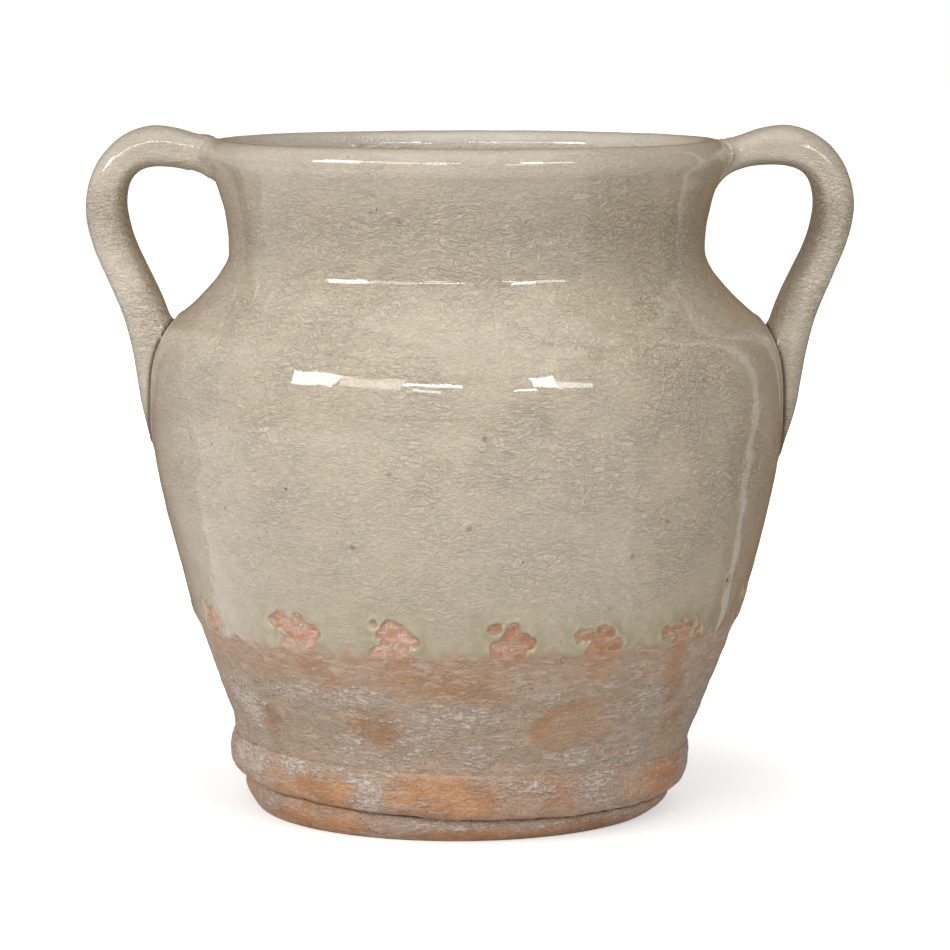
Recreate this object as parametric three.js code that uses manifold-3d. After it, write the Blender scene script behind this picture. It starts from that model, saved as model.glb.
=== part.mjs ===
// Urn vase: a wide thrown pot on a ring foot, with a coiled heel, a rolled lip, two pulled
// handles and a thick glaze that stops in notched lobes above the bare clay.
// Millimetres, +Z up. The origin is on the table, under the middle of the foot.
import * as THREE from 'three';
import { mergeVertices } from 'three/addons/utils/BufferGeometryUtils.js';
import Module from 'manifold-3d';

const wasm = await Module();
wasm.setup();

// Clearance kept between a piece and the neighbour it is shaped to fit
const CLEARANCE = 0.3;

// Floor of the pot, cut back under the heel as a step for the coil
const FLOOR_RADIUS = 83;
const FLOOR_THICKNESS = 8.7;

// Ring foot, a low barrel-sided band set a little in from the edge of the floor
const FOOT_INSET = 0.4;
const FOOT_RING_WIDTH = 14.6;
const FOOT_HEIGHT = 11.3;
const FOOT_BULGE = 2.7;
const FOOT_CHAMFER = 1.2;

// Coil wrapped round the heel, with a flat top that the wall rests on
const COIL_WIDTH = 9.3;
const COIL_HEIGHT = 17.8;
const COIL_WIDEST_RISE = 12;
const COIL_TOP_FLAT = 3.6;

// Outside of the thrown wall: heel, belly, shoulder break and neck
const HEEL_OVERHANG = 7.4;
const HEEL_SOFTENING = 1.6;
const HEEL_FLARE = 1.5;
const HEEL_FLARE_RISE = 9;
const HEEL_LEAN = 0.2;
const BELLY_RADIUS = 125;
const BELLY_RISE = 130;
const SHOULDER_INSET = 11.9;
const SHOULDER_RISE = 37.7;
const SHOULDER_LEAN = -1.04;
const NECK_INSET = 19.4;
const NECK_RISE = 25.2;

// Thickness of the wall, at the heel and everywhere above it, and the cove inside
const WALL = 8;
const HEEL_WALL = 15;
const COVE_WIDTH = 20;

// Rolled lip, a round edge that overhangs the neck
const LIP_RISE = 38;
const LIP_OVERHANG = 3.9;
const LIP_ROLL_RADIUS = 5.3;
const LIP_LEAN = 0.42;

// Glaze coat, and the place where it stops on the outside
const GLAZE = 0.9;
const GLAZE_EDGE_RISE = 47;

// Notches in the glaze edge: a three-lobed head on a waist that flares out below
const NOTCH_ANGLES = [-72, -40.5, -15.7, 8, 28, 50, 78, 102, 126, 150, 174, 198, 222, 246, 268];
const NOTCH_LOBE_RADIUS = 4.4;
const NOTCH_LOBE_SPREAD = 5.2;
const NOTCH_HEIGHT = 13;
const NOTCH_WAIST = 11;
const NOTCH_FLARE = 5;
const NOTCH_CUT_DEPTH = 14;

// Pulled handles, from the lip to the belly
const HANDLE_THICKNESS = 16.4;
const HANDLE_WIDTH = 22;
const HANDLE_ROUNDNESS = 2.6;
const HANDLE_ROOT_DEPTH = 31;
const HANDLE_ROOT_FLARE = 6;
const HANDLE_ROOT_LEAN = 0.3;
const HANDLE_BURIED = 12;

// The handle's arch: its crown above the lip and its elbow, which is a little thicker
const HANDLE_CROWN_RISE = 6.8;
const HANDLE_CROWN_REACH = 21;
const HANDLE_CROWN_SHIFT = 6.6;
const HANDLE_REACH = 50;
const HANDLE_DROP = 25.7;
const HANDLE_ELBOW_THICKNESS = 17.2;
const HANDLE_ELBOW_RISE = 2;

// The handle's run down to the belly, where its tail is pressed on
const HANDLE_SHOULDER_GAP = 6.6;
const HANDLE_RUN_LEAN = 0.27;
const HANDLE_RUN_SPREAD = 1.6;
const HANDLE_TAIL_LENGTH = 46;
const HANDLE_TAIL_FLARE = 5;
const HANDLE_TAIL_CURL = 0.3;

// Facets
const SEGMENTS = 40;
const LIP_STEPS = 5;
const COVE_STEPS = 2;
const LOBE_STEPS = 4;
const HANDLE_SIDES = 14;
const HANDLE_STEPS = [6, 6, 5, 6];

// Heights and radii worked out from the sizes above
const footRadius = FLOOR_RADIUS - FOOT_INSET;
const coilInner = FLOOR_RADIUS + CLEARANCE;
const coilRadius = coilInner + COIL_WIDTH;
const heelRadius = FLOOR_RADIUS + HEEL_OVERHANG;
const shoulderRadius = BELLY_RADIUS - SHOULDER_INSET;
const neckRadius = shoulderRadius - NECK_INSET;
const lipRadius = neckRadius + LIP_OVERHANG;
const floorTop = FOOT_HEIGHT + FLOOR_THICKNESS;
const coilBottom = FOOT_HEIGHT - CLEARANCE;
const coilTop = coilBottom + COIL_HEIGHT;
const heelHeight = coilTop + CLEARANCE;
const bellyHeight = heelHeight + BELLY_RISE;
const shoulderHeight = bellyHeight + SHOULDER_RISE;
const neckHeight = shoulderHeight + NECK_RISE;
const lipHeight = neckHeight + LIP_RISE;
const glazeEdge = heelHeight + GLAZE_EDGE_RISE;

const at = (r, z) => new THREE.Vector2(r, z);

// Direction in the profile plane that leans from straight up towards +r
const heading = (lean) => at(Math.sin(lean), Math.cos(lean));

// A sample is a point of the clay's surface with the direction that points out of the clay
const sample = (point, normal) => ({ point, normal });

// Cubic bend between two stations, each with a lean, and a pull that is a share of the span
function bend(from, to, steps) {
  const span = from.point.distanceTo(to.point);
  const curve = new THREE.CubicBezierCurve(
    from.point,
    from.point.clone().addScaledVector(heading(from.lean), from.leave * span),
    to.point.clone().addScaledVector(heading(to.lean), -to.arrive * span),
    to.point,
  );
  return Array.from({ length: steps + 1 }, (_, i) => {
    const tangent = curve.getTangent(i / steps);
    return sample(curve.getPoint(i / steps), at(tangent.y, -tangent.x));
  });
}

// Runs of samples in a row share the sample where they meet
const joined = (...runs) => runs.flatMap((run, i) => (i === 0 ? run : run.slice(1)));

const heel = { point: at(heelRadius, heelHeight), lean: HEEL_LEAN, leave: 0.03 };
const belly = { point: at(BELLY_RADIUS, bellyHeight), lean: 0, arrive: 0.32, leave: 0.25 };
const shoulder = {
  point: at(shoulderRadius, shoulderHeight),
  lean: SHOULDER_LEAN,
  arrive: 0.37,
  leave: 0.07,
};
const neck = { point: at(neckRadius, neckHeight), lean: 0, arrive: 0.27, leave: 0.42 };
const lipMiddle = at(lipRadius, lipHeight);
const lipEdge = {
  point: lipMiddle.clone().addScaledVector(at(Math.cos(LIP_LEAN), -Math.sin(LIP_LEAN)), LIP_ROLL_RADIUS),
  lean: LIP_LEAN,
  arrive: 0.32,
};

// Outside of the clay from the heel to the lip, then the roll over the lip
const wallOutside = joined(bend(heel, belly, 5), bend(belly, shoulder, 4));
const neckOutside = joined(bend(shoulder, neck, 4), bend(neck, lipEdge, 3));
const lipRoll = Array.from({ length: LIP_STEPS + 1 }, (_, i) => {
  const turn = THREE.MathUtils.lerp(-LIP_LEAN, Math.PI, i / LIP_STEPS);
  const normal = at(Math.cos(turn), Math.sin(turn));
  return sample(lipMiddle.clone().addScaledVector(normal, LIP_ROLL_RADIUS), normal);
});

// Inside of the clay: the outside moved in by the thickness, running down from the lip
const inward = (run, thickness) => run.map(({ point, normal }, i) => sample(
  point.clone().addScaledVector(normal, -thickness(i / (run.length - 1))),
  normal.clone().negate(),
)).reverse();

const throat = bend(
  { point: at(neckRadius - WALL, neckHeight), lean: 0, leave: 0.35 },
  { point: lipMiddle.clone().add(at(-LIP_ROLL_RADIUS, 0)), lean: 0, arrive: 0.35 },
  2,
).map(({ point, normal }) => sample(point, normal.negate())).reverse();
const shoulderInside = inward(bend(shoulder, neck, 3), () => WALL);
const bellyInside = inward(bend(belly, shoulder, 3), () => WALL);
const lowerInside = inward(bend(heel, belly, 4), (up) => (
  THREE.MathUtils.lerp(HEEL_WALL, WALL, THREE.MathUtils.smoothstep(up, 0, 0.6))
));

// Cove that turns the inside of the wall into the floor
const coveTop = lowerInside.at(-1);
const coveFall = at(-coveTop.normal.y, coveTop.normal.x);
const coveRun = (floorTop - coveTop.point.y) / coveFall.y;
const coveCorner = coveTop.point.clone().addScaledVector(coveFall, coveRun);
const coveCurve = new THREE.QuadraticBezierCurve(
  coveTop.point,
  coveCorner,
  at(coveTop.point.x - COVE_WIDTH, floorTop),
);
const cove = Array.from({ length: COVE_STEPS + 1 }, (_, i) => {
  const tangent = coveCurve.getTangent(i / COVE_STEPS);
  return sample(coveCurve.getPoint(i / COVE_STEPS), at(tangent.y, -tangent.x));
});

const inside = joined(throat, shoulderInside, bellyInside, lowerInside, cove);

// Splits a run of samples where it passes a height; both parts hold the sample on the cut
function splitAt(run, height) {
  const startsBelow = run[0].point.y < height;
  const next = run.findIndex(({ point }) => (point.y < height) !== startsBelow);
  const [before, after] = [run[next - 1], run[next]];
  const share = (height - before.point.y) / (after.point.y - before.point.y);
  const cut = sample(
    before.point.clone().lerp(after.point, share),
    before.normal.clone().lerp(after.normal, share).normalize(),
  );
  return [[...run.slice(0, next), cut], [cut, ...run.slice(next)]];
}

const pointsOf = (run) => run.map(({ point }) => point);
const offset = (run, distance) => run.map(({ point, normal }) => (
  point.clone().addScaledVector(normal, distance)
));

// Turns an outline about +Z, starting at the front (-Y). It goes up on the outside and either
// has both ends on the axis or is closed here. Points that lie together are kept once.
function turned(outline) {
  const nearest = 0.02;
  const points = outline.filter((point, i) => i === 0 || point.distanceTo(outline[i - 1]) > nearest);
  if (points[0].x > 0) {
    points.push(points[0].clone());
  }
  return new THREE.LatheGeometry(points, SEGMENTS).rotateX(Math.PI / 2);
}

// Closed geometry to a solid for cutting, and back
function solidOf(geometry) {
  const bare = geometry.clone();
  bare.deleteAttribute('normal');
  bare.deleteAttribute('uv');
  const merged = mergeVertices(bare, 1e-4);
  const corners = merged.index.array;
  const triangles = [];
  for (let i = 0; i < corners.length; i += 3) {
    const [a, b, c] = [corners[i], corners[i + 1], corners[i + 2]];
    if (a !== b && b !== c && c !== a) {
      triangles.push(a, b, c);
    }
  }
  return new wasm.Manifold(new wasm.Mesh({
    numProp: 3,
    vertProperties: Float32Array.from(merged.attributes.position.array),
    triVerts: Uint32Array.from(triangles),
  }));
}

function geometryOf(solid) {
  const { numProp, vertProperties, triVerts } = solid.getMesh();
  const geometry = new THREE.BufferGeometry();
  const positions = new Float32Array((vertProperties.length / numProp) * 3);
  for (let i = 0; i < positions.length / 3; i += 1) {
    positions.set(vertProperties.subarray(i * numProp, i * numProp + 3), i * 3);
  }
  geometry.setAttribute('position', new THREE.BufferAttribute(positions, 3));
  geometry.setIndex(Array.from(triVerts));
  geometry.computeVertexNormals();
  return geometry;
}

// Ring foot: chamfered inside, barrel-sided outside, flat where it stands and where it carries
function footRing() {
  const inner = footRadius - FOOT_RING_WIDTH;
  const rim = footRadius - FOOT_BULGE;
  const outline = new THREE.Path()
    .moveTo(inner + FOOT_CHAMFER, 0)
    .lineTo(rim, 0)
    .quadraticCurveTo(footRadius + FOOT_BULGE, FOOT_HEIGHT / 2, rim, FOOT_HEIGHT)
    .lineTo(inner, FOOT_HEIGHT)
    .lineTo(inner, FOOT_CHAMFER);
  return turned(outline.getPoints(4));
}

// Floor slab, as wide as the step that the coil closes round
function baseSlab() {
  return turned([
    at(0, FOOT_HEIGHT),
    at(FLOOR_RADIUS, FOOT_HEIGHT),
    at(FLOOR_RADIUS, floorTop),
    at(0, floorTop),
  ]);
}

// Coil round the heel: flat against the step and under the wall, swelling outside
function heelCoil() {
  const widest = coilBottom + COIL_WIDEST_RISE;
  const swell = COIL_WIDTH - COIL_TOP_FLAT;
  const flatEnd = coilInner + COIL_TOP_FLAT;
  const outline = new THREE.Path()
    .moveTo(coilInner, coilBottom)
    .bezierCurveTo(
      flatEnd, coilBottom - CLEARANCE,
      coilRadius, widest - COIL_WIDEST_RISE / 2,
      coilRadius, widest,
    )
    .bezierCurveTo(
      coilRadius, coilTop - swell / 3,
      coilRadius - swell / 2, coilTop,
      flatEnd, coilTop,
    )
    .lineTo(coilInner, coilTop);
  return turned(outline.getPoints(4));
}

// Thrown wall from the floor to the shoulder break, with the step for the coil under its heel,
// which is pushed out a little towards the coil
function bodyWall() {
  const [insideBelow] = splitAt([...inside].reverse(), shoulderHeight);
  const [heelRun, aboveFlare] = splitAt(wallOutside, heelHeight + HEEL_FLARE_RISE);
  const flareRadius = heelRadius + HEEL_FLARE;
  const flare = new THREE.QuadraticBezierCurve(
    at(flareRadius, heelHeight + HEEL_SOFTENING / 2),
    heelRun[0].point.clone().lerp(aboveFlare[0].point, 1 / 2),
    aboveFlare[0].point,
  );
  return turned([
    at(FLOOR_RADIUS, floorTop),
    at(FLOOR_RADIUS, heelHeight),
    at(flareRadius - HEEL_SOFTENING, heelHeight),
    ...flare.getPoints(2),
    ...pointsOf(aboveFlare.slice(1)),
    ...pointsOf(insideBelow.reverse()),
  ]);
}

// Neck with its rolled lip, luted flat on the shoulder break
function neckCollar() {
  const [insideAbove] = splitAt(inside, shoulderHeight);
  return turned([...pointsOf(neckOutside), ...pointsOf(lipRoll), ...pointsOf(insideAbove)]);
}

// Handle rails in the profile plane: the outer and inner edge, matched station by station.
// The stations are the buried root, the crown, the elbow, the shoulder and the buried tail.
function handleRails() {
  const lipOuter = lipRadius + LIP_ROLL_RADIUS;
  const lipTop = lipHeight + LIP_ROLL_RADIUS;
  const crown = at(lipOuter + HANDLE_CROWN_REACH, lipTop + HANDLE_CROWN_RISE);
  const elbow = at(lipOuter + HANDLE_REACH, lipTop - HANDLE_DROP);
  const landing = at(shoulderRadius + HANDLE_SHOULDER_GAP, shoulderHeight);
  const tail = at(BELLY_RADIUS, landing.y - HANDLE_TAIL_LENGTH);
  const across = at(Math.cos(HANDLE_RUN_LEAN), -Math.sin(HANDLE_RUN_LEAN))
    .multiplyScalar(HANDLE_THICKNESS + HANDLE_RUN_SPREAD);
  const level = Math.PI / 2;
  const down = Math.PI;
  const running = down + HANDLE_RUN_LEAN;
  const curled = running + HANDLE_TAIL_CURL;
  const rootDepth = HANDLE_ROOT_DEPTH + HANDLE_BURIED;

  const outerRoot = at(lipOuter - HANDLE_BURIED, lipTop - CLEARANCE);
  const outerLanding = landing.clone().add(across);
  const outerTail = tail.clone().add(at(-HANDLE_BURIED / 4, -HANDLE_BURIED));
  const outer = [
    { point: outerRoot, lean: level - HANDLE_ROOT_LEAN / 3, leave: 0.33 },
    { point: crown, lean: level, arrive: 0.33, leave: 0.38 },
    { point: elbow, lean: down, arrive: 0.38, leave: 0.33 },
    { point: outerLanding, lean: running, arrive: 0.33, leave: 0.4 },
    { point: outerTail, lean: curled, arrive: 0.4 },
  ];

  const innerRoot = at(neckRadius - HANDLE_BURIED / 2, lipTop - rootDepth);
  const innerCrown = crown.clone().sub(at(HANDLE_CROWN_SHIFT, HANDLE_THICKNESS));
  const innerElbow = elbow.clone().add(at(-HANDLE_ELBOW_THICKNESS, HANDLE_ELBOW_RISE));
  const innerTail = tail.clone().sub(at(HANDLE_BURIED, 0));
  const inner = [
    { point: innerRoot, lean: HANDLE_ROOT_LEAN, leave: 0.5 },
    { point: innerCrown, lean: level, arrive: 0.45, leave: 0.5 },
    { point: innerElbow, lean: down, arrive: 0.5, leave: 0.33 },
    { point: landing, lean: running, arrive: 0.33, leave: 0.33 },
    { point: innerTail, lean: down, arrive: 0.33 },
  ];

  return [outer, inner].map((rail) => pointsOf(joined(
    ...HANDLE_STEPS.map((count, i) => bend(rail[i], rail[i + 1], count)),
  )));
}

// Half the width of a handle at a share of its length: wider where it is pressed on, and
// drawn in to a round tongue at the very end of the tail
function handleHalfWidth(share) {
  const rootEnd = 0.22;
  const tailStart = 0.7;
  const tongueStart = 0.86;
  const tongueTaper = 0.85;
  const root = Math.max(0, 1 - share / rootEnd);
  const tail = Math.max(0, (share - tailStart) / (1 - tailStart));
  const tongue = Math.max(0, (share - tongueStart) / (1 - tongueStart));
  const pressed = HANDLE_WIDTH / 2 + HANDLE_ROOT_FLARE * root ** 2 + HANDLE_TAIL_FLARE * tail ** 2;
  return pressed * Math.sqrt(1 - tongueTaper * tongue ** 2);
}

// Loft between the two rails in the +X half-plane, with a squared oval as its section
function handleLoft(growth) {
  const [outer, inner] = handleRails();
  const sharpen = (value) => Math.sign(value) * Math.abs(value) ** (2 / HANDLE_ROUNDNESS);
  const positions = [];
  outer.forEach((edge, i) => {
    const middle = edge.clone().add(inner[i]).multiplyScalar(0.5);
    const reach = edge.clone().sub(middle);
    reach.setLength(reach.length() + growth);
    const halfWidth = handleHalfWidth(i / (outer.length - 1)) + growth;
    for (let side = 0; side < HANDLE_SIDES; side += 1) {
      const turn = (2 * Math.PI * side) / HANDLE_SIDES;
      const out = middle.clone().addScaledVector(reach, sharpen(Math.cos(turn)));
      positions.push(out.x, halfWidth * sharpen(Math.sin(turn)), out.y);
    }
  });
  const last = (outer.length - 1) * HANDLE_SIDES;
  const triangles = [];
  for (let ring = 0; ring < last; ring += HANDLE_SIDES) {
    for (let side = 0; side < HANDLE_SIDES; side += 1) {
      const beside = (side + 1) % HANDLE_SIDES;
      triangles.push(ring + side, ring + HANDLE_SIDES + side, ring + beside);
      triangles.push(ring + beside, ring + HANDLE_SIDES + side, ring + HANDLE_SIDES + beside);
    }
  }
  for (let side = 1; side < HANDLE_SIDES - 1; side += 1) {
    triangles.push(0, side, side + 1);
    triangles.push(last, last + side + 1, last + side);
  }
  const geometry = new THREE.BufferGeometry();
  geometry.setAttribute('position', new THREE.Float32BufferAttribute(positions, 3));
  geometry.setIndex(triangles);
  return geometry;
}

// Solid inside of the clay's outside, moved out by a distance, with a column up past the lip:
// what a handle is cut by so that it seats on the wall and against the lip
function potBlank(distance) {
  const lipSide = lipRoll.slice(0, 3);
  const surface = offset(joined(wallOutside, neckOutside, lipSide), distance);
  const foot = surface[0];
  const top = surface.at(-1);
  const head = HANDLE_CROWN_RISE + HANDLE_THICKNESS;
  return solidOf(turned([at(0, foot.y), ...surface, at(top.x, top.y + head), at(0, top.y + head)]));
}

function handle() {
  return geometryOf(solidOf(handleLoft(0)).subtract(potBlank(CLEARANCE)));
}

// Outline of a notch, in the plane that touches the wall: x along the edge, y up from it
function notchOutline() {
  const half = NOTCH_WAIST / 2;
  const mouth = half + NOTCH_FLARE;
  const lobeHeight = NOTCH_HEIGHT - 1.9 * NOTCH_LOBE_RADIUS;
  const lobe = (x, y, from, to) => Array.from({ length: LOBE_STEPS + 1 }, (_, i) => {
    const turn = THREE.MathUtils.lerp(from, to, i / LOBE_STEPS) * Math.PI;
    return at(x + NOTCH_LOBE_RADIUS * Math.cos(turn), y + NOTCH_LOBE_RADIUS * Math.sin(turn));
  });
  return new THREE.Shape([
    at(-mouth, -NOTCH_FLARE),
    at(mouth, -NOTCH_FLARE),
    at(mouth, 0),
    at(half, NOTCH_FLARE / 2),
    ...lobe(NOTCH_LOBE_SPREAD, lobeHeight, -0.25, 0.5),
    ...lobe(0, NOTCH_HEIGHT - NOTCH_LOBE_RADIUS, 0.15, 0.85),
    ...lobe(-NOTCH_LOBE_SPREAD, lobeHeight, 0.5, 1.25),
    at(-half, NOTCH_FLARE / 2),
    at(-mouth, 0),
  ]);
}

// Cutter for one notch: the outline pushed straight in through the glaze at an angle from the front
function notchCutter(angle) {
  const outward = new THREE.Vector3(Math.sin(angle), -Math.cos(angle), 0);
  const along = new THREE.Vector3(Math.cos(angle), Math.sin(angle), 0);
  const up = new THREE.Vector3(0, 0, 1);
  const [, edgeRun] = splitAt(wallOutside, glazeEdge);
  const innermost = edgeRun[0].point.x - WALL / 4;
  const place = new THREE.Matrix4()
    .makeBasis(along, up, outward)
    .setPosition(outward.clone().multiplyScalar(innermost).setZ(glazeEdge));
  const cutter = new THREE.ExtrudeGeometry(notchOutline(), { depth: NOTCH_CUT_DEPTH, bevelEnabled: false });
  return solidOf(cutter.applyMatrix4(place));
}

// Glaze coat: one skin from the middle of the floor, up the inside, over the lip and down the
// outside, with its notches, and open where the handles are luted on
function glazeCoat() {
  const [, outside] = splitAt(joined(wallOutside, neckOutside, lipRoll), glazeEdge);
  const run = joined(outside, inside);
  const near = offset(run, CLEARANCE);
  const far = offset(run, CLEARANCE + GLAZE);
  const skin = solidOf(turned([
    at(0, near.at(-1).y),
    ...near.reverse(),
    ...far,
    at(0, far.at(-1).y),
  ]));
  const sockets = solidOf(handleLoft(CLEARANCE)).subtract(potBlank(0));
  return geometryOf(NOTCH_ANGLES.reduce(
    (coat, degrees) => coat.subtract(notchCutter(THREE.MathUtils.degToRad(degrees))),
    skin.subtract(sockets).subtract(sockets.rotate([0, 0, 180])),
  ));
}

// Bare fired clay
function clay() {
  return new THREE.MeshStandardMaterial({ color: 0xc08a66, roughness: 0.92, metalness: 0 });
}

// Clay with a chalky bloom, on the foot
function chalkyClay() {
  return new THREE.MeshStandardMaterial({ color: 0xc9a084, roughness: 0.95, metalness: 0 });
}

// Pale grey-green glaze
function glaze() {
  return new THREE.MeshStandardMaterial({ color: 0xbfb59a, roughness: 0.18, metalness: 0 });
}

function piece(name, geometry, material, turn = 0) {
  const mesh = new THREE.Mesh(geometry, material);
  mesh.name = name;
  mesh.rotation.z = turn;
  return mesh;
}

const pulledHandle = handle();
const vase = new THREE.Group();
vase.add(
  piece('foot_ring', footRing(), chalkyClay()),
  piece('base_slab', baseSlab(), clay()),
  piece('heel_coil', heelCoil(), chalkyClay()),
  piece('body_wall', bodyWall(), clay()),
  piece('neck_collar', neckCollar(), clay()),
  piece('handle_right', pulledHandle, glaze()),
  piece('handle_left', pulledHandle, glaze(), Math.PI),
  piece('glaze_coat', glazeCoat(), glaze()),
);

export default vase;
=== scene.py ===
# Urn vase: a wide thrown pot on a ring foot, with a coiled heel, two pulled handles and a
# crackled glaze that stops in ragged notches above chalky bare clay.
# Metres, +Z up; the front faces -Y. Sizes below are millimetres and are scaled by MM once.
import math

import bpy
import numpy as np
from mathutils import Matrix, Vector
from mathutils.kdtree import KDTree


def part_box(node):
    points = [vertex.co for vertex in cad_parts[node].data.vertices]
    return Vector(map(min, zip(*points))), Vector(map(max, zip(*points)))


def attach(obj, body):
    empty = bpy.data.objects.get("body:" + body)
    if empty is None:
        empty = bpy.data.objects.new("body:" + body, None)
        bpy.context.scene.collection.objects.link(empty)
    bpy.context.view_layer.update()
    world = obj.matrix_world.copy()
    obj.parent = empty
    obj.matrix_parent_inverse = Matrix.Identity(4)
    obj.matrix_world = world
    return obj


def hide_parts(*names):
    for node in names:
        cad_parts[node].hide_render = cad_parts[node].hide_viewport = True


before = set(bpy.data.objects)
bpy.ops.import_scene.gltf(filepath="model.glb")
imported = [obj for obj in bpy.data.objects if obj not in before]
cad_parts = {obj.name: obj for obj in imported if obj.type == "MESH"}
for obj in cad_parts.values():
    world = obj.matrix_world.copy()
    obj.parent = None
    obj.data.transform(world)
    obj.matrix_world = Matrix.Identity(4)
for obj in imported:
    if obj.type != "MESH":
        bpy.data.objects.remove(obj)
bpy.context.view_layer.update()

MM = 0.001


def high_corner(node):
    """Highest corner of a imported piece, in millimetres."""
    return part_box(node)[1] / MM


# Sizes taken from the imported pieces
FOOT_HEIGHT = high_corner("foot_ring").z
FOOT_RADIUS = high_corner("foot_ring").x
FLOOR_RADIUS = high_corner("base_slab").x
FLOOR_TOP = high_corner("base_slab").z
COIL_RADIUS = high_corner("heel_coil").x
COIL_TOP = high_corner("heel_coil").z
BELLY_RADIUS = high_corner("body_wall").x
SEAM_HEIGHT = high_corner("body_wall").z
SEAM_RADIUS = high_corner("neck_collar").x
LIP_TOP = high_corner("neck_collar").z
HANDLE_OUT = high_corner("handle_right").x
HANDLE_TOP = high_corner("handle_right").z

# Sizes of the pot that no packed box gives
CLEARANCE = 0.3
HEEL_RADIUS = COIL_RADIUS - 2.2
HEEL_HEIGHT = COIL_TOP + CLEARANCE
BELLY_HEIGHT = HEEL_HEIGHT + 130
NECK_RADIUS = SEAM_RADIUS - 19.4
NECK_HEIGHT = SEAM_HEIGHT + 25.2
LIP_ROLL = 5.3
LIP_RADIUS = NECK_RADIUS + 3.9
LIP_HEIGHT = LIP_TOP - LIP_ROLL
WALL = 8
HEEL_WALL = 15
GLAZE = 0.95

# The pot leans a little: how far its axis is off to the left at some heights
LEAN_HEIGHTS = (0, 9, 13, 20, 30, 40, 60, 97, 159, 205, 225, 272)
LEAN_SHIFTS = (-5.4, -5.2, -4.6, -4.5, -3.4, -2.0, -1.5, -1.0, -1.2, -1.0, -1.3, -1.2)


# Noise on points in space, for shapes that must be real geometry
def lattice(ix, iy, iz, seed):
    """A random number from -1 to 1 at each whole point of a lattice."""
    mixed = (ix * 374761393 + iy * 668265263 + iz * 1274126177 + seed * 974711) & 0xFFFFFFFF
    mixed = ((mixed ^ (mixed >> 13)) * 1274126177) & 0xFFFFFFFF
    return ((mixed ^ (mixed >> 16)) & 0xFFFF) / 32767.5 - 1


def lumps(points, size, seed):
    """Smooth noise from -1 to 1 with lumps of about the given size, one value for each point."""
    place = np.asarray(points) / size
    cell = np.floor(place).astype(np.int64)
    part = place - cell
    part = part * part * (3 - 2 * part)
    total = 0
    for corner in range(8):
        step = np.array([corner & 1, corner >> 1 & 1, corner >> 2 & 1])
        weight = np.prod(np.where(step, part, 1 - part), axis=-1)
        at = cell + step
        total = total + weight * lattice(at[..., 0], at[..., 1], at[..., 2], seed)
    return total


def smooth(value, low, high):
    """0 below low, 1 above high and a smooth rise between them."""
    share = np.clip((value - low) / (high - low), 0, 1)
    return share * share * (3 - 2 * share)


# Profiles in the plane of radius and height
def heading(lean):
    return np.array([math.sin(lean), math.cos(lean)])


def bend(start, end, count):
    """Cubic bend between two stations (radius, height, lean, arrive pull, leave pull)."""
    first, last = np.array(start[:2], float), np.array(end[:2], float)
    span = np.linalg.norm(last - first)
    leaving = first + start[4] * span * heading(start[2])
    arriving = last - end[3] * span * heading(end[2])
    t = np.linspace(0, 1, count)[:, None]
    return (
        (1 - t) ** 3 * first
        + 3 * (1 - t) ** 2 * t * leaving
        + 3 * (1 - t) * t * t * arriving
        + t**3 * last
    )


def arc(middle, radius, start, end, count):
    turn = np.linspace(start, end, count)
    return np.stack([middle[0] + radius * np.cos(turn), middle[1] + radius * np.sin(turn)], 1)


def run(*parts):
    """Joins pieces of a profile and spaces its points evenly, a third of a millimetre apart."""
    points = np.concatenate(parts)
    keep = np.r_[True, np.linalg.norm(np.diff(points, axis=0), axis=1) > 1e-6]
    points = points[keep]
    length = np.r_[0, np.cumsum(np.linalg.norm(np.diff(points, axis=0), axis=1))]
    even = np.linspace(0, length[-1], int(length[-1] * 3) + 1)
    return np.stack([np.interp(even, length, points[:, k]) for k in (0, 1)], 1)


def outward(profile):
    """Directions that point to the right of the way that a profile runs."""
    along = np.gradient(profile, axis=0)
    along /= np.linalg.norm(along, axis=1)[:, None]
    return np.stack([along[:, 1], -along[:, 0]], 1)


LIP_LEAN = 0.42
lip_middle = (LIP_RADIUS, LIP_HEIGHT)
lip_edge = (
    LIP_RADIUS + LIP_ROLL * math.cos(LIP_LEAN),
    LIP_HEIGHT - LIP_ROLL * math.sin(LIP_LEAN),
    LIP_LEAN,
    0.32,
    0,
)
heel = (HEEL_RADIUS, HEEL_HEIGHT, 0.2, 0, 0.03)
belly = (BELLY_RADIUS, BELLY_HEIGHT, 0, 0.32, 0.25)
seam = (SEAM_RADIUS, SEAM_HEIGHT, -1.04, 0.37, 0.07)
neck = (NECK_RADIUS, NECK_HEIGHT, 0, 0.27, 0.42)

# The clay's surface: up the outside, over the lip, down the inside to the middle of the floor
outside_clay = run(bend(heel, belly, 200), bend(belly, seam, 100), bend(seam, neck, 80),
                   bend(neck, lip_edge, 80))


def softened(profile, low, high, reach):
    """Rounds a profile off between two heights, by averaging over a reach in millimetres."""
    count = int(reach * 3)
    shares = np.hanning(2 * count + 1)
    shares /= shares.sum()
    padded = np.pad(profile, ((count, count), (0, 0)), "edge")
    even = np.stack([np.convolve(padded[:, k], shares, "valid") for k in (0, 1)], 1)
    height = profile[:, 1]
    share = smooth(height, low - 8, low) * (1 - smooth(height, high, high + 8))
    return profile + (even - profile) * share[:, None]


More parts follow.
